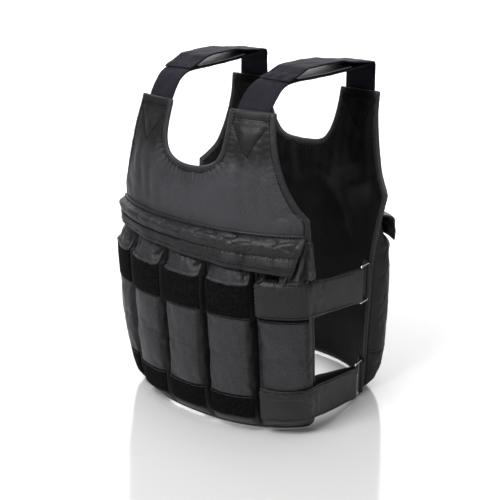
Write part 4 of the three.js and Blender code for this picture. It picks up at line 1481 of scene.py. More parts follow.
class PocketShape:
    """The outside of one pocket, from seam to seam and from foot to flap."""

    def __init__(self, form: ClothForm, depth: float, place: int, rows: Sequence[PocketRow]) -> None:
        """Places the pocket on its panel.

        Args:
            form: The panel's form.
            depth: Greatest depth.
            place: Its number from the middle pocket, towards the wearer's left.
            rows: Its upright form.
        """
        self.form = form
        self.depth = depth
        self.pitch = (2 * form.half - 4) / POCKETS
        self.middle = place * self.pitch
        self.half_seam = self.pitch / 2 - CLEARANCE
        self.half_face = self.pitch * FACE_SHARE / 2
        at = [row.at for row in rows]
        self.deep = smooth_curve(at, [row.deep for row in rows])
        self.face = smooth_curve(at, [row.face for row in rows])

    def section(self, z: Array) -> tuple[Array, Array]:
        """The section's nine corners at each height: places along the cloth and heights off the panel."""
        at = (z - POCKET_FOOT) / POCKET_HEIGHT
        face = (self.half_face * self.face(at))[:, None]
        gusset = self.half_seam - face
        deep = np.maximum(self.depth * self.deep(at), CLEARANCE)[:, None]
        half = face * SECTION_FACE + gusset * SECTION_SIDE
        out = deep * SECTION_OUT
        return np.concatenate([-half, half[:, 3::-1]], 1), np.concatenate([out, out[:, 3::-1]], 1)

    def point(self, t: Array, z: Array, lift: float = 0.0) -> Array:
        """Points of the outside.

        Args:
            t: From -1 at one seam to 1 at the other.
            z: Heights.
            lift: Distance off the surface.

        Returns:
            Points of shape (len(z), len(t), 3).
        """
        z = np.atleast_1d(np.asarray(z, float))
        faces, outs = self.section(z)
        column = 4 + 4 * np.atleast_1d(np.asarray(t, float))
        low, high = np.clip(column - 0.2, 0, 8), np.clip(column + 0.2, 0, 8)
        along = through(faces, high) - through(faces, low)
        rise = through(outs, high) - through(outs, low)
        size = np.maximum(np.hypot(along, rise), 1e-9)
        u = through(faces, column) - rise / size * lift
        out = through(outs, column) + along / size * lift
        return self.form.point(self.middle + u, z[:, None], REST + out)

    def corner(self, column: int, z: Array, lift: float) -> Array:
        """Points off one corner of the straight-sided section, of shape (len(z), 3)."""
        z = np.atleast_1d(np.asarray(z, float))
        faces, outs = self.section(z)
        du = faces[:, column + 1] - faces[:, column - 1]
        dout = outs[:, column + 1] - outs[:, column - 1]
        size = np.hypot(du, dout)
        u = faces[:, column] - dout / size * lift
        out = outs[:, column] + du / size * lift
        return self.form.point(self.middle + u, z, REST + out)


@dataclass
class Pocket:
    """A pocket of cloth with what is sewn on it."""

    name: str
    shape: PocketShape
    creases: list[Crease]
    seed: int
    top: float
    bands: tuple[tuple[float, float], ...] = ()
    mouth: tuple[float, float, float, float] | None = None
    columns: int = 49
    heights: Array | None = None
    shares: Array | None = None
    sheet: Sheet | None = None

    def surface(self) -> Sheet:
        """The pocket's middle surface before it settles."""
        marks = sorted({POCKET_FOOT, self.top, *[edge for band in self.bands for edge in band]})
        steps = []
        for a, b in zip(marks[:-1], marks[1:]):
            count = int((b - a) / (MOUTH_STEP if a > MOUTH_FROM else FACE_STEP))
            steps.append(np.linspace(a, b, max(2, count), endpoint=False))
        self.heights = np.concatenate([*steps, [self.top]])
        self.shares = np.linspace(-1, 1, self.columns)
        points = self.shape.point(self.shares, self.heights, -POCKET_WALL / 2)
        span = np.linalg.norm(np.diff(points, axis=1), axis=2)
        run = np.concatenate([np.zeros((len(points), 1)), np.cumsum(span, 1)], 1)
        run -= run[:, self.columns // 2][:, None]
        flat = np.stack([run, np.broadcast_to(self.heights[:, None], run.shape)], -1)
        sheet = grid_sheet(points, flat, self.shape.form.outward())
        z, t = np.meshgrid(self.heights, self.shares, indexing="ij")
        hold = np.clip(1.2 - (1 - np.abs(t)) * 5, 0, 1)
        hold = np.maximum(hold, np.clip(1.2 - (z - POCKET_FOOT) / 12, 0, 1))
        hold = np.maximum(hold, np.clip((z - 246) / 14, 0, 1))
        for low, high in self.bands:
            hold = np.where((z >= low - 1) & (z <= high + 1), 0.96, hold)
        sheet.hold = hold.ravel()
        sheet.cap = 2.4
        self.sheet = sheet
        return sheet

    def dress(self, finishes: Finishes) -> bpy.types.Object:
        """Makes the pocket's cloth with its gathers."""
        sheet = self.sheet
        along, z = sheet.flat[:, 0], sheet.flat[:, 1]
        t = np.tile(self.shares, len(self.heights))
        free = np.ones(len(z))
        for low, high in self.bands:
            free *= 1 - 0.8 * np.clip(np.minimum(z - low + 3, high + 3 - z) / 4, 0, 1)
        free *= np.clip((1 - np.abs(t)) / 0.12, 0, 1)
        height = relief(self.creases, along, z)
        height += 0.35 * waves(along, z, 38, self.seed) + 0.18 * waves(along, z, 11, self.seed + 3, (-25, 25))
        for low, high in self.bands:
            for edge, away in ((low, -1), (high, 1)):
                gap = (z - edge) * away
                near = np.where(gap > 0, np.exp(-gap / 7), 0)
                height += 0.4 * near * np.sin(along * 2 * math.pi / 8.5 + self.seed + edge)
        height *= free
        inside = np.zeros(len(z))
        if self.bands:
            above = np.clip((z - self.bands[-1][1] - 0.5) / 3, 0, 1)
            height -= 1.5 * above * np.clip((self.top - z) / 10, 0, 1)
        if self.mouth:
            a, b, low, high = self.mouth
            inside = np.clip(np.minimum(along - a, b - along) / 3, 0, 1)
            inside *= np.clip(np.minimum(z - low, high - z) / 2.5, 0, 1)
            height -= 13 * inside
        sheet = sheet.raised(height)
        self.sheet = sheet
        # painted light and shade: painted shade on the flanks, deep in the narrow valleys between pockets and
        # further in on the wearer's left; a painted highlight down the face's middle, a little lighter
        # towards the top middle and on fold crests; painted shade in the open mouth
        side = np.clip((np.abs(t + 0.1) - 0.5) / 0.13, 0, 1)
        lit = 0.18 * hill(t, 0.05, 0.3)
        under = np.clip((z - self.top + 34) / 20, 0, 1) * np.clip(1 - np.abs(t) / 0.5, 0, 1)
        painted_light = np.clip(0.3 + lit + height * 0.12 - side * 1.3 + under * 0.1 - inside * 1.5, -0.9, 0.8)
        piece = cloth_piece(self.name + "_cloth", sheet, POCKET_WALL, finishes.shell, Slot.CLOTH, painted_light)
        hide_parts(self.name)
        long = (self.top - POCKET_FOOT) * MM
        sheet.area() / long
        return piece

    def at(self, t: Any, z: Any, lift: Any = 0.0) -> Array:
        """Points on the finished cloth.

        Args:
            t: From -1 to 1 across the pocket.
            z: Heights.
            lift: Distance off its middle surface.

        Returns:
            Points of shape (..., 3).
        """
        t, z, lift = np.broadcast_arrays(np.asarray(t, float), np.asarray(z, float), np.asarray(lift, float))
        shape = (len(self.heights), self.columns, 3)
        points = self.sheet.points.reshape(shape)
        normals = self.sheet.normals().reshape(shape)
        row = np.interp(z, self.heights, np.arange(len(self.heights)))
        column = np.interp(t, self.shares, np.arange(self.columns))
        return between(points, row, column) + between(normals, row, column) * lift[..., None]

    def band(self, node: str, low: float, high: float, finish: bpy.types.Material) -> bpy.types.Object:
        """A fabric band over the pocket's face.

        Args:
            node: The CAD node that it stands for.
            low: Lower edge.
            high: Upper edge.
            finish: Its material.

        Returns:
            The object.
        """
        z = np.linspace(low, high, 30)
        t = np.linspace(-0.58, 0.58, 44)
        grid_t, grid_z = np.meshgrid(t, z)
        along = grid_t * BAND_REACH
        lift = (POCKET_WALL + BAND_THICKNESS) / 2 + 0.08 + 0.12 * waves(along, grid_z, 22, self.seed + 9)
        points = self.at(grid_t, grid_z, lift)
        flat = np.stack([along, grid_z], -1)
        sheet = grid_sheet(points, flat, self.shape.form.outward())
        piece = cloth_piece(node + "_fabric", sheet, BAND_THICKNESS, finish, Slot.BAND)
        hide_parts(node)
        return piece

    def rim(self, finishes: Finishes) -> bpy.types.Object:
        """The hemmed edge of the pocket's front wall, which turns up at one side like an ear."""
        top = self.bands[-1][1]
        share = np.linspace(0, 1, 64)
        t = RIM_ACROSS(share)
        z = top + RIM_UP(share)
        lift = RIM_OUT(share)
        path = self.at(t, z, lift + 0.25 * np.sin(share * 40 + self.seed))
        along = directions(path)
        out = self.at(t, z, lift + 1) - path
        out -= along * (out * along).sum(1)[:, None]
        out /= np.linalg.norm(out, axis=1)[:, None]
        side = np.cross(along, out)
        turn = np.linspace(0, 2 * math.pi, 13)[:-1]
        wide = 2.0 * np.clip(np.minimum(share, 1 - share) * 14, 0.35, 1)
        ring = [path + out * (np.cos(a) * 0.85) + side * (np.sin(a) * wide)[:, None] for a in turn]
        # painted highlight along the whole rim, where its fold catches light
        return swept_piece(self.name + "_rim", np.stack(ring, 1), False, finishes.binding, Slot.CLOTH,
                           np.full(12, 0.95))


# Flaps


FLAP_DOWN = (-0.1, 0.0, 0.07, 0.2, 0.46, 0.76, 1.0)
FLAP_OUT = (0.0, 0.03, 0.42, 0.78, 0.9, 1.0, 1.0)
FLAP_THICKNESS = 3.4
FLAP_HEIGHT = 38.0
FLAP_SEAMS = (0.02, 0.085, 0.5, 0.57, 0.87)
FLAP_FORM = ((1.6, 0.24, 0.14), (-1.3, 0.52, 0.045), (-1.0, 0.0, 0.03), (-0.7, 0.085, 0.03))
FLAP_GATHER = Gather(0.12, 0.6, 0.1, 6.6)
FLAP_ROWS = np.concatenate([np.linspace(-0.1, 0.0, 5)[:-1], np.linspace(0, 1, 42)])


@dataclass
class Flap:
    """The long flap over the pockets' mouths."""

    name: str
    form: ClothForm
    half: float
    top: float
    reach: float
    wave: float
    creases: list[Crease]
    seed: int
    droop: float = 0.0
    swing: float = 0.0
    slant: float = 0.0
    columns: int = 330
    sheet: Sheet | None = None

    def drop(self, u: Array) -> Array:
        """The flap's height along its length."""
        return FLAP_HEIGHT + self.droop * np.asarray(u) / self.half

    def dress(self, finishes: Finishes) -> bpy.types.Object:
        """Makes the flap with its seam, roll, crumples and hem."""
        u = np.linspace(-self.half, self.half, self.columns)
        out_at = smooth_curve(FLAP_DOWN, FLAP_OUT)(FLAP_ROWS)
        grid_u, grid_down = np.meshgrid(u, FLAP_ROWS)
        pitch = (2 * self.form.half - 4) / POCKETS
        wave = 0.5 + 0.5 * np.cos(2 * math.pi * grid_u / pitch)
        lower = np.clip(grid_down * 1.3, 0, 1) ** 2
        reach = self.reach + self.swing * np.clip(grid_u / self.half, -0.3, 1) * lower
        reach += self.wave * wave * lower
        z = self.top - self.drop(grid_u) * np.maximum(grid_down, 0) - FLAP_HEIGHT * np.minimum(grid_down, 0)
        grid_u = grid_u - self.slant * (grid_u / self.half) ** 7 * np.clip(grid_down, 0, 1)
        out = out_at[:, None] * reach
        points = self.form.point(grid_u, z, REST + FLAP_THICKNESS * 0.4 + out)
        steps = np.linalg.norm(np.diff(points, axis=0), axis=2)
        run = np.concatenate([np.zeros((1, len(u))), np.cumsum(steps, 0)])
        sheet = grid_sheet(points, np.stack([grid_u, run], -1), self.form.outward())
        a, b = sheet.flat[:, 0], grid_down.ravel()
        height = sum(rise * hill(b, at, width) for rise, at, width in FLAP_FORM)
        height += relief(self.creases, a, b * FLAP_HEIGHT)
        height += 0.5 * waves(a, b * FLAP_HEIGHT, 45, self.seed, (-20, 20)) * np.clip(b * 3, 0, 1)
        height += FLAP_GATHER.over(b, a)
        end = np.clip((self.half - np.abs(a)) / 5, 0.15, 1)
        sheet = sheet.raised(height * end)
        self.sheet = sheet
        # painted light and shade: painted shade along the seam lines and slightly towards the top seam,
        # lighter on fold crests, a little darker overall
        seam = sum(hill(b, row, 0.02) for row in FLAP_SEAMS)
        painted_light = np.clip(height * 0.1 - seam * 0.5 - 0.3 * np.clip(0.3 - b, 0, 1) - 0.12, -0.7, 0.6)
        thick = 2.4 + 1.0 * np.clip(1 - np.abs(b - 0.25) / 0.3, 0, 1)
        piece = cloth_piece(self.name + "_cloth", sheet, thick, finishes.shell, Slot.CLOTH, painted_light)
        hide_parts(self.name)
        wide = 2 * self.half * MM
        held_on = self.name.replace("flap", "panel")
        sheet.area() / wide
        return piece

    def grid(self) -> Array:
        """The finished flap's points by row and column."""
        return self.sheet.points.reshape(len(FLAP_ROWS), self.columns, 3)

    def line(self, down: float, half: float) -> Array:
        """Points along the finished flap at one share of its height, as far as half on both sides."""
        u = np.linspace(-half, half, 240)
        row = self.grid()[int(np.argmin(np.abs(FLAP_ROWS - down)))]
        columns = np.linspace(-self.half, self.half, self.columns)
        return np.stack([np.interp(u, columns, row[:, k]) for k in range(3)], 1)

    def end_lines(self) -> list[Array]:
        """Points down the flap's lower part, near each of its ends."""
        return [self.grid()[24:44, column] for column in (-6, 5)]


@dataclass(frozen=True)
class Gusset:
    """The folded cloth that closes the flap's end on the wearer's left.

    Each corner is a place along the cloth, a height and a distance off the panel.
    """

    form: ClothForm
    top: tuple[tuple[float, ...], ...] = ((168.0, 287.0, 3.0), (184.0, 285.0, 1.0))
    foot: tuple[tuple[float, ...], ...] = ((148.0, 235.0, 18.5), (188.5, 237.0, 9.0))
    wide: float = 40.0
    long: float = 52.0

    def dress(self, finishes: Finishes) -> bpy.types.Object:
        """Makes the gusset with its folds."""
        shares = np.meshgrid(np.linspace(0, 1, 46), np.linspace(0, 1, 60), indexing="ij")
        down, across = (share[..., None] for share in shares)
        top = np.array(self.top[0]) * (1 - across) + np.array(self.top[1]) * across
        foot = np.array(self.foot[0]) * (1 - across) + np.array(self.foot[1]) * across
        place = top * (1 - down) + foot * down
        points = self.form.point(place[..., 0], place[..., 1], REST + place[..., 2])
        flat = np.concatenate([across * self.wide, down * self.long], 2)
        sheet = grid_sheet(points, flat, self.form.outward())
        a, b = sheet.flat[:, 0] / self.wide, sheet.flat[:, 1] / self.long
        fold = np.sin(2 * math.pi * (2.3 * a + 0.25 * b) + 0.6) * 3.4 * b ** 0.7
        fold += np.sin(2 * math.pi * (5.2 * a - 0.9 * b)) * 0.7 * b
        fold += 0.5 * waves(a * self.wide, b * self.long, 12, 77)
        sheet = sheet.raised(fold)
        # painted light and shade: lighter on the folds' crests, darker in their hollows and a little darker
        # overall
        painted_light = np.clip(fold * 0.18 - 0.15, -0.8, 0.7)
        piece = cloth_piece("flap_gusset", sheet, 1.4, finishes.shell, Slot.CLOTH, painted_light)
        sheet.area() / 0.04
        return piece


# Webbing


def round_bar(centre: Array, radius: float, start: Array, end: Array, sense: int, steps: int) -> Array:
    """A strap's turn round an upright bar.

    Args:
        centre: The bar's middle.
        radius: Of the strap's middle surface.
        start: Where the strap comes from.
        end: Where it leaves to.
        sense: 1 for an anticlockwise turn.
        steps: How many steps.

    Returns:
        Level points of shape (steps + 1, 3).
    """

    def angle_to(p: Array) -> float:
        """Direction from the bar to a point."""
        return math.atan2(p[1] - centre[1], p[0] - centre[0])

    def spread(p: Array) -> float:
        """Angle between that direction and the tangent point's."""
        return math.acos(min(1.0, radius / math.hypot(p[0] - centre[0], p[1] - centre[1])))

    begin = angle_to(start) + sense * spread(start)
    stop = angle_to(end) - sense * spread(end)
    while sense * (stop - begin) <= 0:
        stop += sense * 2 * math.pi
    angle = np.linspace(begin, stop, steps + 1)
    ring = np.stack([np.cos(angle), np.sin(angle), np.zeros(steps + 1)], 1) * radius
    return ring + np.array([centre[0], centre[1], 0.0])


def smooth_rows(grid: Array, count: int) -> Array:
    """Smooths rows of stations along a strap.

    Args:
        grid: Stations along the strap by points across it, of shape (stations, across, 3).
        count: Stations wanted.

    Returns:
        The finer grid.
    """
    span = np.linalg.norm(np.diff(grid, axis=0), axis=2).mean(1)
    share = np.concatenate([[0], np.cumsum(np.maximum(span, 1e-3))])
    share /= share[-1]
    at = np.linspace(0, 1, count)
    made = np.empty((count, grid.shape[1], 3))
    for j in range(grid.shape[1]):
        for k in range(3):
            made[:, j, k] = smooth_curve(share, grid[:, j, k])(at)
    return made


def strap_sheet(grid: Array, width: float) -> Sheet:
    """A strap's sheet with places along and across it.

    Args:
        grid: Points of shape (along, across, 3).
        width: The strap's width.

    Returns:
        The sheet.
    """
    run = lengths(grid.mean(1))
    across = np.linspace(-width / 2, width / 2, grid.shape[1])
    flat = np.stack(np.meshgrid(run, across, indexing="ij"), -1)
    return grid_sheet(grid, flat)


def flipped(sheet: Sheet, mirror: bool) -> Sheet:
    """The sheet itself, or its mirror image on the wearer's right."""
    if not mirror:
        return sheet
    return Sheet(sheet.points * [-1, 1, 1], sheet.faces[:, ::-1].copy(), sheet.flat)


@dataclass
class SideSet:
    """A side strap with its ring and the tab that holds the ring, worked out on the wearer's left."""

    level: str
    ring_z: float
    sewn_z: float
    pocket: Pocket
    fastened: bool
    creases: list[Crease]
    seed: int
    web_width: float = 50.0
    web_thickness: float = 1.8
    wire: float = 3.2
    ring_span: float = 22.0
    ring_slack: float = 3.2
    tab_reach: float = 9.0
    tab_sewn: float = 18.0
    web_rise: float = 21.0
    overhang: float = 4.0
    stations: int = 185
    notch: float = 2.4
    notch_pitch: float = 5.7

    def __post_init__(self) -> None:
        """Finds the ring's two bars."""
        self.band_z = self.ring_z + self.web_rise
        lift = BAND_THICKNESS + 2 * CLEARANCE + self.web_thickness / 2 + 0.9
        left = PocketShape(FRONT, FRONT_DEPTH, POCKETS - MIDDLE_POCKET, FRONT_POCKET_ROWS)
        leave = left.corner(6, self.band_z, lift)[0]
        edge = BACK.point(BACK_HALF, self.ring_z)
        way = np.array([leave[0] - edge[0], leave[1] - edge[1], 0.0])
        self.way = way / np.linalg.norm(way)
        self.outward = np.array([-self.way[1], self.way[0], 0.0])
        self.rear = np.array([edge[0], edge[1], 0.0]) + self.way * self.tab_reach
        self.front = self.rear + self.way * self.ring_span
        self.bend = self.wire / 2 + CLEARANCE + 0.15 + self.web_thickness / 2

    @property
    def name(self) -> str:
        """The set's level and side."""
        return f"{self.level}_{'left' if self.fastened else 'right'}"

    def level_row(self, p: Array, z: float, shares: Array) -> Array:
        """A station of the strap that stands upright at a level place."""
        rows = np.repeat(p[None, :], len(shares), 0)
        rows[:, 2] = z + shares * self.web_width
        return rows

    def strap(self, finishes: Finishes) -> tuple[bpy.types.Object, Array]:
        """Makes the side strap.

        Args:
            finishes: The finishes.

        Returns:
            The object, and the grid of its points.
        """
        shares = np.linspace(-0.5, 0.5, 37)
        inner = -(PANEL_THICKNESS / 2 + CLEARANCE + 0.5 + self.web_thickness / 2)
        sewn_rows = self.sewn_z + shares * self.web_width
        sewn = [FRONT.point(FRONT_HALF - back, sewn_rows, inner) for back in (1, 9, 17, 25)]
        arrive = FRONT.point(FRONT_HALF - 1, self.sewn_z, inner) * [1, 1, 0]
        stations = []
        if self.fastened:
            lift = POCKET_WALL / 2 + BAND_THICKNESS + self.web_thickness / 2 + 0.35
            z = self.band_z + shares * self.web_width
            face = [self.pocket.at(t, z, lift) for t in np.linspace(-0.5, 0.5, 13)]
            on = face[0] - face[1]
            on /= np.linalg.norm(on, axis=1)[:, None]
            saw = self.notch * np.abs(((shares * self.web_width / self.notch_pitch) % 1) - 0.5) * 2
            stations.append(face[0] + on * (self.overhang + saw)[:, None])
            stations.extend(face)
            leave = face[-1].mean(0) * [1, 1, 0]
            around = round_bar(self.front, self.bend, leave, arrive, 1, 10)
            for share in (0.12, 0.34, 0.6, 0.85):
                p = leave * (1 - share) + around[0] * share
                flat = self.level_row(p, self.band_z + (self.ring_z - self.band_z) * share, shares)
                if share < 0.2:
                    flat = flat * 0.6 + (face[-1] + (around[0] - leave) * share) * 0.4
                stations.append(flat)
        else:
            around = round_bar(self.front, self.bend, arrive, arrive, 1, 10)
            beside = (arrive - around[-1]) / np.linalg.norm(arrive - around[-1])
            apart = np.array([-beside[1], beside[0], 0.0])
            for share, gap in ((0.8, 0.8), (0.6, 0.8), (0.4, 0.8), (0.22, 1.6)):
                p = around[-1] * (1 - share) + arrive * share + apart * (self.web_thickness + CLEARANCE + gap)
                stations.append(self.level_row(p, self.ring_z + (self.sewn_z - self.ring_z) * share, shares))
        stations.extend(self.level_row(p, self.ring_z, shares) for p in around)
        for share in (0.15, 0.4, 0.7, 0.92):
            p = around[-1] * (1 - share) + arrive * share
            stations.append(self.level_row(p, self.ring_z + (self.sewn_z - self.ring_z) * share, shares))
        stations.extend(sewn)
        grid = smooth_rows(np.stack(stations), self.stations)
        sheet = strap_sheet(grid, self.web_width)
        along, across = sheet.flat[:, 0], sheet.flat[:, 1]
        middle = int(np.argmin(np.abs(along - 30) + np.abs(across)))
        sheet.turn(middle, sheet.points[middle] * [1, 1, 0])
        height = relief(self.creases, along, across) + 0.22 * waves(along, across, 36, self.seed)
        height -= 0.25 * hill(np.abs(across), 23.4, 0.9)
        sheet = sheet.raised(height)
        shown = flipped(sheet, not self.fastened)
        # painted highlight on the strap's crests, darker in its hollows
        shading_paint = np.clip(0.25 + height * 0.2, 0, 0.7)
        piece = cloth_piece(f"side_strap_{self.name}_web", shown, self.web_thickness, finishes.side_web,
                            Slot.WEBBING, shading_paint)
        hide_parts(f"side_strap_{self.name}")
        return piece, shown.points.reshape(grid.shape)

    def ring(self, finishes: Finishes) -> bpy.types.Object:
        """Makes the wire ring."""
        half_long = (self.web_width + self.ring_slack + self.wire) / 2
        half_wide = self.ring_span / 2
        corner = self.wire * 0.95
        places = []
        for sx, sz, begin in ((1, 1, 0), (-1, 1, 90), (-1, -1, 180), (1, -1, 270)):
            for turn in np.linspace(0, 90, 9):
                a = math.radians(begin + turn)
                places.append((sx * (half_wide - corner) + corner * math.cos(a),
                               sz * (half_long - corner) + corner * math.sin(a), a))
        centre = (self.rear + self.front) / 2
        centre[2] = self.ring_z
        rings = []
        for along, up, a in places:
            round_it = np.linspace(0, 2 * math.pi, 17)[:-1]
            r, w = np.cos(round_it) * self.wire / 2, np.sin(round_it) * self.wire / 2
            p = centre + self.way * (along + r * math.cos(a))[:, None] + self.outward * w[:, None]
            p[:, 2] += up + r * math.sin(a)
            rings.append(p)
        grid = np.stack(rings)
        if not self.fastened:
            grid = grid * [-1, 1, 1]
        piece = swept_piece(f"side_ring_{self.name}_wire", grid, True, finishes.wire, Slot.CHROME)
        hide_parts(f"side_ring_{self.name}")
        return piece

    def tab(self, finishes: Finishes) -> bpy.types.Object:
        """Makes the tab of webbing that holds the ring to the back panel."""
        shares = np.linspace(-0.5, 0.5, 25)
        near = -(PANEL_THICKNESS / 2 + CLEARANCE + 0.5 + self.web_thickness / 2)
        far = near - self.web_thickness - CLEARANCE - 0.5
        z = self.ring_z + shares * self.web_width

        def leg(back: float, off: float) -> Array:
            """A station on the inside of the back panel."""
            return BACK.point(BACK_HALF - back, z, off)

        stations = [leg(self.tab_sewn, near), leg(self.tab_sewn * 0.5, near), leg(0, near)]
        ends = zip(leg(0, near), leg(0, far))
        turns = [round_bar(self.rear, self.bend, start, end, -1, 10) for start, end in ends]
        for k in range(11):
            row = np.stack([turn[k] for turn in turns])
            row[:, 2] = z
            stations.append(row)
        stations.extend([leg(0, far), leg(self.tab_sewn * 0.5, far), leg(self.tab_sewn, far)])
        grid = smooth_rows(np.stack(stations), 90)
        sheet = strap_sheet(grid, self.web_width)
        sheet = flipped(sheet, not self.fastened)
        piece = cloth_piece(f"ring_tab_{self.name}_web", sheet, self.web_thickness, finishes.side_web,
                            Slot.WEBBING, np.full(len(sheet.points), 0.3))
        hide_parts(f"ring_tab_{self.name}")
        return piece


@dataclass
class ShoulderSet:
    """The two layers of a shoulder strap with the hook tape between them, worked out on the left."""

    right: bool
    seed: int
    thickness: float = 2.2
    width: float = 50.0
    sewn: float = 34.0
    rise: float = 34.0
    arch: float = 13.0
    overlap: float = 0.175
    hook_width: float = 40.0
    hook_thickness: float = 0.9
    back_course: tuple[float, ...] = (0.0, 0.045, 0.105, 0.19, 0.34, 0.5, 0.66, 0.8, 0.93)
    up_course: tuple[float, ...] = (0.0, 0.42, 0.8, 0.98, 1.0, 1.01, 1.05, 1.1, 1.16)
    gap_at: tuple[float, ...] = (0.0, 0.1, 0.24, 0.42, 0.62, 0.82, 1.0)
    gap_share: tuple[float, ...] = (0.0, 0.34, 0.9, 1.0, 0.9, 0.42, 0.02)

    def __post_init__(self) -> None:
        """Finds where the strap is sewn."""
        self.under = PANEL_THICKNESS / 2 + CLEARANCE + 0.5 + self.thickness / 2
        self.front_middle = FRONT_CUT.tab_inner + FRONT_CUT.tab_width * 0.48
        self.back_middle = BACK_CUT.tab_inner + BACK_CUT.tab_width * 0.44
        behind = self.on_back(0, 0)[1]
        self.ahead = self.on_front(0, 0)[1]
        self.end_y = self.ahead + (behind - self.ahead) * float(even_curve(self.back_course)(1.0))
        self.from_y = self.ahead + (behind - self.ahead) * self.overlap

    @property
    def side(self) -> str:
        """The side's name."""
        return "right" if self.right else "left"

    def on_front(self, share: float, down: float) -> Array:
        """A place inside the front tab."""
        return FRONT.point(self.front_middle + share * self.width, BODY_HEIGHT - down, -self.under)

    def on_back(self, share: float, down: float) -> Array:
        """A place outside the back tab."""
        return BACK.point(self.back_middle + share * self.width, BODY_HEIGHT - down, self.under)

    def crown(self, share: float) -> Array:
        """The lower layer's line over the shoulder."""
        start, finish = self.on_front(share, 0), self.on_back(share, 0)
        at = np.arange(1, 21) / 20
        t = even_curve(self.back_course)(at) / float(even_curve(self.back_course)(1.0))
        x = start[0] + (finish[0] - start[0]) * t
        y = start[1] + (self.end_y - start[1]) * t
        z = BODY_HEIGHT + self.rise * even_curve(self.up_course)(at) + self.thickness / 2
        return np.stack([x, y, z], 1)

    def over(self, share: float, y: Array, lift: Array | float) -> Array:
        """Points above the lower layer."""
        line, middle = self.crown(share), self.crown(0)
        z = smooth_curve(line[:, 1], line[:, 2])(y)
        x = smooth_curve(middle[:, 1], middle[:, 0])(y) + self.width * share
        return np.stack([x, y, z + lift], 1)

    def layer(self, name: str, node: str, grid: Array, thick: float, width: float, finish: bpy.types.Material,
              slot: Slot, bumps: float) -> tuple[bpy.types.Object, Array]:
        """Makes a layer from its stations.

        Args:
            name: Name of the piece.
            node: The CAD node that it stands for.
            grid: Points of shape (along, across, 3).
            thick: Thickness.
            width: Width.
            finish: Material.
            slot: The record's slot; not used.
            bumps: Height of its soft waves.

        Returns:
            The object, and its points as a grid.
        """
        sheet = strap_sheet(grid, width)
        sheet.turn(len(sheet.points) // 2, (0, 0, 1))
        along, across = sheet.flat[:, 0], sheet.flat[:, 1]
        height = bumps * waves(along, across, 24, self.seed)
        height -= 0.2 * hill(np.abs(across), width / 2 - 2, 0.8)
        sheet = flipped(sheet.raised(height), self.right)
        piece = cloth_piece(name, sheet, thick, finish, slot, np.full(len(sheet.points), 0.3))
        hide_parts(node)
        return piece, sheet.points.reshape(grid.shape)

    def dress(self, finishes: Finishes) -> dict[str, tuple[bpy.types.Object, Array]]:
        """Makes the three layers, by name."""
        shares = np.linspace(-0.5, 0.5, 25)
        lower, upper, hook = [], [], []
        layer = self.thickness + CLEARANCE + 0.25
        gap = smooth_curve(self.gap_at, self.gap_share)
        for share in shares:
            rows = [self.on_front(share, down) for down in (self.sewn, self.sewn / 2, 0)]
            lower.append(np.concatenate([np.stack(rows), self.crown(share)]))
            t = np.linspace(0, 1, 19)
            line = self.over(share, self.from_y + (self.end_y - self.from_y) * t, layer + self.arch * gap(t))
            end, foot = line[-1], self.on_back(share, 0)
            bend = []
            for forth, down in ((0.45, 0.3), (0.8, 1.2), (0.95, 3.4), (1.0, 7.5)):
                bend.append([*(end[:2] + (foot[:2] - end[:2]) * forth), end[2] - down])
            bend.append([foot[0], foot[1], (end[2] + BODY_HEIGHT) / 2])
            bend.extend([foot, self.on_back(share, self.sewn / 2), self.on_back(share, self.sewn)])
            upper.append(np.concatenate([line, np.array(bend)]))
            t = 0.14 + 0.66 * np.linspace(0, 1, 10)
            tape_share = share * self.hook_width / self.width
            lift = self.thickness / 2 + CLEARANCE + 0.15 + self.hook_thickness / 2
            hook.append(self.over(tape_share, self.from_y + (self.end_y - self.from_y) * t, lift))
        made = {}
        web = (self.thickness, self.width, finishes.shoulder_web, Slot.WEBBING)
        tape = (self.hook_thickness, self.hook_width, finishes.hook, Slot.HOOK)
        for name, lines, make, bumps, count in (
            ("front_shoulder_strap", lower, web, 0.25, 120), ("back_shoulder_strap", upper, web, 0.3, 150),
            ("hook_tape", hook, tape, 0.1, 60),
        ):
            node = f"{name}_{self.side}"
            made[name] = self.layer(f"{node}_web", node, smooth_rows(np.stack(lines, 1), count), *make, bumps)
        return made


# Set


def aim(thing: bpy.types.Object, place: Sequence[float], back: Vector) -> None:
    """Puts a lamp or camera in its place, with its back to a direction."""
    thing.location = place
    thing.rotation_mode = "QUATERNION"
    thing.rotation_quaternion = back.to_track_quat("Z", "Y")


@dataclass(frozen=True)
class AreaLight:
    """A soft light."""

    name: str
    place: tuple[float, float, float]
    aim: tuple[float, float, float]
    size: tuple[float, float]
    power: float
    tint: tuple[float, float, float] = (1.0, 1.0, 1.0)

    def made(self) -> None:
        """Hangs the light."""
        lamp = bpy.data.lights.new(self.name, "AREA")
        lamp.shape = "RECTANGLE"
        lamp.size, lamp.size_y = self.size
        lamp.energy = self.power
        lamp.color = self.tint
        aim(placed(self.name, lamp), self.place, Vector(self.place) - Vector(self.aim))


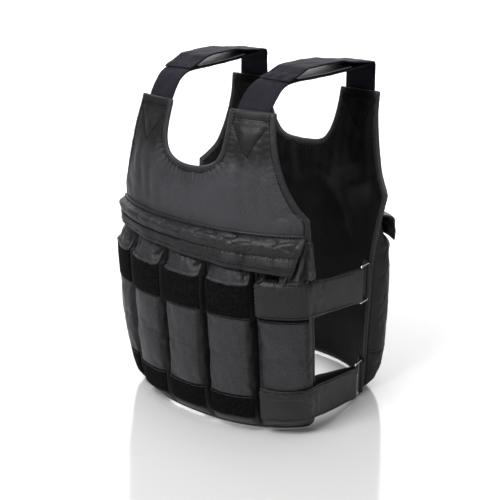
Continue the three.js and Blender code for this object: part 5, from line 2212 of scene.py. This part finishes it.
@dataclass(frozen=True)
class Studio:
    """Floor, light and camera."""

    floor_z: float = -0.4905
    floor_reach: float = 14.0
    camera: tuple[float, float, float] = (0.9493, -1.1802, 0.2400)
    azimuth: float = 39.1
    elevation: float = 18.7
    lens: float = 76.3
    world: float = 0.2

    def floor(self) -> None:
        """Lays the floor."""
        size = self.floor_reach
        mesh = bpy.data.meshes.new("floor")
        corners = [(-size, -size), (size, -size), (size, size), (-size, size)]
        mesh.from_pydata([(x, y, self.floor_z) for x, y in corners], [], [(0, 1, 2, 3)])
        mesh.materials.append(StudioFloor("studio_floor").made())
        placed("floor", mesh)

    def light(self) -> None:
        """Lights the vest evenly from the front with a brighter top."""
        world = bpy.data.worlds.new("studio")
        world.use_nodes = True
        sky = world.node_tree.nodes["Background"]
        sky.inputs["Color"].default_value = (1, 1, 1, 1)
        sky.inputs["Strength"].default_value = self.world
        bpy.context.scene.world = world
        for lamp in (
            AreaLight("key", (-0.05, -1.9, 2.0), (0, 0, -0.1), (1.1, 0.9), 84),
            AreaLight("fill", (2.2, -1.1, 0.6), (0, 0, -0.25), (0.8, 1.4), 7),
            AreaLight("top", (0.1, -0.3, 2.6), (0, 0, -0.2), (2.4, 2.4), 46),
            AreaLight("horizon", (-6.3, 7.7, 2.9), (0.9, -1.2, 0.0), (16.0, 6.6), 960),
        ):
            lamp.made()

    def shoot(self) -> None:
        """Sets up the camera and the view's colours."""
        lens = bpy.data.cameras.new("camera")
        lens.lens = self.lens
        lens.sensor_width = 36
        lens.clip_start, lens.clip_end = 0.05, 60
        camera = placed("camera", lens)
        a, e = math.radians(self.azimuth), math.radians(self.elevation)
        aim(camera, self.camera, Vector((math.sin(a) * math.cos(e), -math.cos(a) * math.cos(e), math.sin(e))))
        scene = bpy.context.scene
        scene.camera = camera
        scene.view_settings.view_transform = "Standard"
        scene.view_settings.look = "None"


# The vest


FRONT_FOLDS = (
    (30, 7, (-26, 230), (26, 262), (14, 34), (62, 118), (1.8, 3.2), 1.5),
    (50, 5, (-24, 70), (24, 165), (40, 110), (84, 96), (5, 9), 0.6),
    (70, 4, (22, 60), (44, 170), (20, 60), (70, 110), (2.5, 5), 0.8),
    (90, 4, (-44, 60), (-22, 170), (20, 60), (70, 110), (2.5, 5), 0.8),
)
BACK_FOLDS = (
    (130, 9, (-40, 75), (40, 235), (40, 120), (80, 100), (4, 9), 1.0),
    (150, 6, (-30, 225), (30, 262), (16, 36), (62, 118), (2.5, 4), 1.6),
)
FRONT_FLAP_FOLDS = (
    (301, 90, (20, 0), (168, 12), (8, 26), (-24, 24), (1.2, 2.2), 0.85),
    (304, 50, (60, 4), (168, 18), (6, 18), (-50, 50), (1.2, 2.0), 0.6),
    (302, 40, (-150, 2), (20, 14), (8, 26), (-20, 20), (1.6, 3.0), 0.6),
)
BACK_FLAP_FOLDS = ((303, 60, (-165, 2), (165, 18), (8, 24), (-30, 30), (1.6, 3.0), 1.0),)
BACK_SEAMS = (61.5, 68.5)
SIDE_SEWN = slice(5, 96)
SIDE_SEAMS = (2, 34)
SHOULDER_SEAMS = (1, -2)
SHOULDER_ROWS = (4, 7, 112)


@dataclass
class Vest:
    """Builds every piece in order."""

    finishes: Finishes

    def panels(self) -> list[VestPanel]:
        """The front and back panels with their folds."""
        front = creases(
            (62, 330, 71, 384, 22, 1.9), (99, 298, 92, 352, 22, -1.9), (33, 303, 35, 338, 22, 1.6),
            (10, 345, 12, 366, 3.0, -0.7), (20, 338, 25, 368, 3.5, 0.8), (33, 340, 36, 366, 2.6, -0.6),
            (48, 352, 47, 386, 3.5, 0.5), (140, 302, 168, 322, 6, 1.2), (128, 308, 158, 334, 4, -0.8),
            (112, 330, 120, 372, 5, 0.6), (76, 352, 84, 398, 7, -0.9),
        )
        back = creases(
            (53, 310, 106, 341, 18, -3.0), (98, 285, 146, 316, 18, -3.0), (34, 285, 40, 330, 20, 1.9),
            (112, 350, 116, 382, 18, 1.6), (60, 330, 120, 352, 6, 1.4), (90, 306, 150, 330, 6, 1.6),
            (25, 318, 70, 300, 7, -2.4), (70, 300, 116, 236, 7, -2.4), (52, 284, 96, 258, 12, 1.8),
        )
        return [
            VestPanel("front_panel", FRONT_CUT, mirrored_creases(front), 11, 0.5, (90, 394)),
            VestPanel("back_panel", BACK_CUT, mirrored_creases(back), 12, 0.6, (107, 394)),
        ]

    def pockets(self) -> list[Pocket]:
        """The ten pockets, front ones first."""
        made = []
        for k in range(1, POCKETS + 1):
            folds = strewn(FRONT_FOLDS, k)
            mouth = None
            if k == POCKETS:
                folds += creases((28, 236, 50, 282, 3.0, 2.2), (36, 232, 54, 268, 2.4, -2.0),
                                 (2, 236, 26, 262, 3.4, 2.4), (18, 230, 44, 246, 3.0, 1.8))
                mouth = (-29.0, -3.0, 231.0, 256.0)
            shape = PocketShape(FRONT, FRONT_DEPTH, k - MIDDLE_POCKET, FRONT_POCKET_ROWS)
            made.append(Pocket(f"front_pocket_{k}", shape, folds, k, FRONT_TOP, (LOWER_BAND, UPPER_BAND),
                               mouth))
        for k in range(1, POCKETS + 1):
            folds = strewn(BACK_FOLDS, k) + creases((-60, 66, 60, 63, 1.6, -1.2))
            shape = PocketShape(BACK, BACK_DEPTH, k - MIDDLE_POCKET, BACK_POCKET_ROWS)
            made.append(Pocket(f"back_pocket_{k}", shape, folds, 20 + k, BACK_TOP))
        return made

    def build(self) -> None:
        """Makes every piece."""
        finishes = self.finishes
        panels = self.panels()
        pockets = self.pockets()
        panel_sheets = [panel.surface() for panel in panels]
        pocket_sheets = [pocket.surface() for pocket in pockets]
        settle(panel_sheets, slack=0.006, pressure=0.1)
        settle(pocket_sheets, slack=0.008, pressure=0.4)
        seams = StitchRows("seam_stitches", finishes.thread)
        trim = StitchRows("trim_stitches", finishes.pale_thread, Slot.BAND, 2.6, 1.9, 0.26)
        for panel in panels:
            piece = panel.dress(finishes)
            tapes = panel.bindings(finishes)
            for off in (3.2, -3.2):
                edge, rows = panel.stitch_lines(off)
                for tape, lines in zip(tapes[::-1], (edge[0::2], edge[1::2])):
                    seams.on(tape, lines)
                seams.on(piece, rows)
        for pocket in pockets:
            self.dress_pocket(pocket, seams, trim)
        self.flaps(seams)
        self.webbing(pockets[POCKETS - 1], seams)
        seams.made()
        trim.made()

    def dress_pocket(self, pocket: Pocket, seams: StitchRows, trim: StitchRows) -> None:
        """Makes a pocket with its bands, rim and stitches.

        Args:
            pocket: The pocket.
            seams: Dark stitches.
            trim: Pale stitches.
        """
        piece = pocket.dress(self.finishes)
        across = np.linspace(-0.54, 0.54, 40)
        if pocket.bands:
            k = pocket.name[-1]
            for level, (low, high) in zip(("lower", "upper"), pocket.bands):
                band = pocket.band(f"front_band_{level}_{k}", low, high, self.finishes.loop)
                lift = POCKET_WALL / 2 + BAND_THICKNESS + 0.3
                rows = [pocket.at(across, low + 1.6, lift), pocket.at(across, high - 1.6, lift)]
                trim.on(band, rows if level == "lower" else rows[:1])
            pocket.rim(self.finishes)
        else:
            across = np.linspace(-0.95, 0.95, 70)
            seams.on(piece, [pocket.at(across, z, 1) for z in BACK_SEAMS])

    def flaps(self, seams: StitchRows) -> None:
        """Makes both flaps.

        Args:
            seams: Dark stitches.
        """
        folds = strewn(FRONT_FLAP_FOLDS)
        folds += creases((92, 16, 98, 38, 5, -2.2), (108, 14, 106, 38, 7, 1.8), (138, 18, 141, 36, 5, -1.2))
        front = Flap("front_flap", FRONT, half=FRONT_HALF - 11, top=291, reach=10, wave=2.2, creases=folds,
                     seed=31, droop=8.5, swing=6.5, slant=17)
        back = Flap("back_flap", BACK, half=BACK_HALF - 8, top=281, reach=27, wave=2.2,
                    creases=strewn(BACK_FLAP_FOLDS), seed=32, columns=230)
        Gusset(FRONT).dress(self.finishes)
        for flap in (front, back):
            piece = flap.dress(self.finishes)
            lines = [flap.line(down, flap.half - 5) for down in FLAP_SEAMS]
            seams.on(piece, lines + flap.end_lines())

    def webbing(self, outer_pocket: Pocket, seams: StitchRows) -> None:
        """Makes the side straps with their rings and tabs, and the shoulder straps.

        Args:
            outer_pocket: The front pocket that the left straps lie over.
            seams: Dark stitches.
        """
        for fastened in (True, False):
            for level, ring_z, sewn_z, seed in (("upper", 187.0, 196.0, 41), ("lower", 26.0, 52.0, 42)):
                folds = scattered(seed + 60, 6, (70, -22), (110, 22), (14, 34), (60, 120), (4, 8), 1.1)
                if level == "lower":
                    folds += creases((63, 27, 72, 6, 3.2, 2.4), (72, 26, 84, 0, 4.0, -1.8))
                sides = SideSet(level, ring_z, sewn_z, outer_pocket, fastened, folds, seed)
                strap, grid = sides.strap(self.finishes)
                sides.ring(self.finishes)
                sides.tab(self.finishes)
                seams.on(strap, [grid[SIDE_SEWN, column] for column in SIDE_SEAMS])
        for right in (False, True):
            layers = ShoulderSet(right, 60 + right).dress(self.finishes)
            for name in ("front_shoulder_strap", "back_shoulder_strap"):
                strap, grid = layers[name]
                seams.on(strap, [grid[4:-4, column] for column in SHOULDER_SEAMS])
            strap, grid = layers["back_shoulder_strap"]
            seams.on(strap, [grid[row, 1:-1] for row in SHOULDER_ROWS])


def main() -> None:
    """Builds the scene."""
    logging.basicConfig(level=logging.INFO, format="%(message)s")
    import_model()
    Vest(Finishes()).build()
    studio = Studio()
    studio.floor()
    studio.light()
    studio.shoot()


if __name__ == "__main__":
    main()
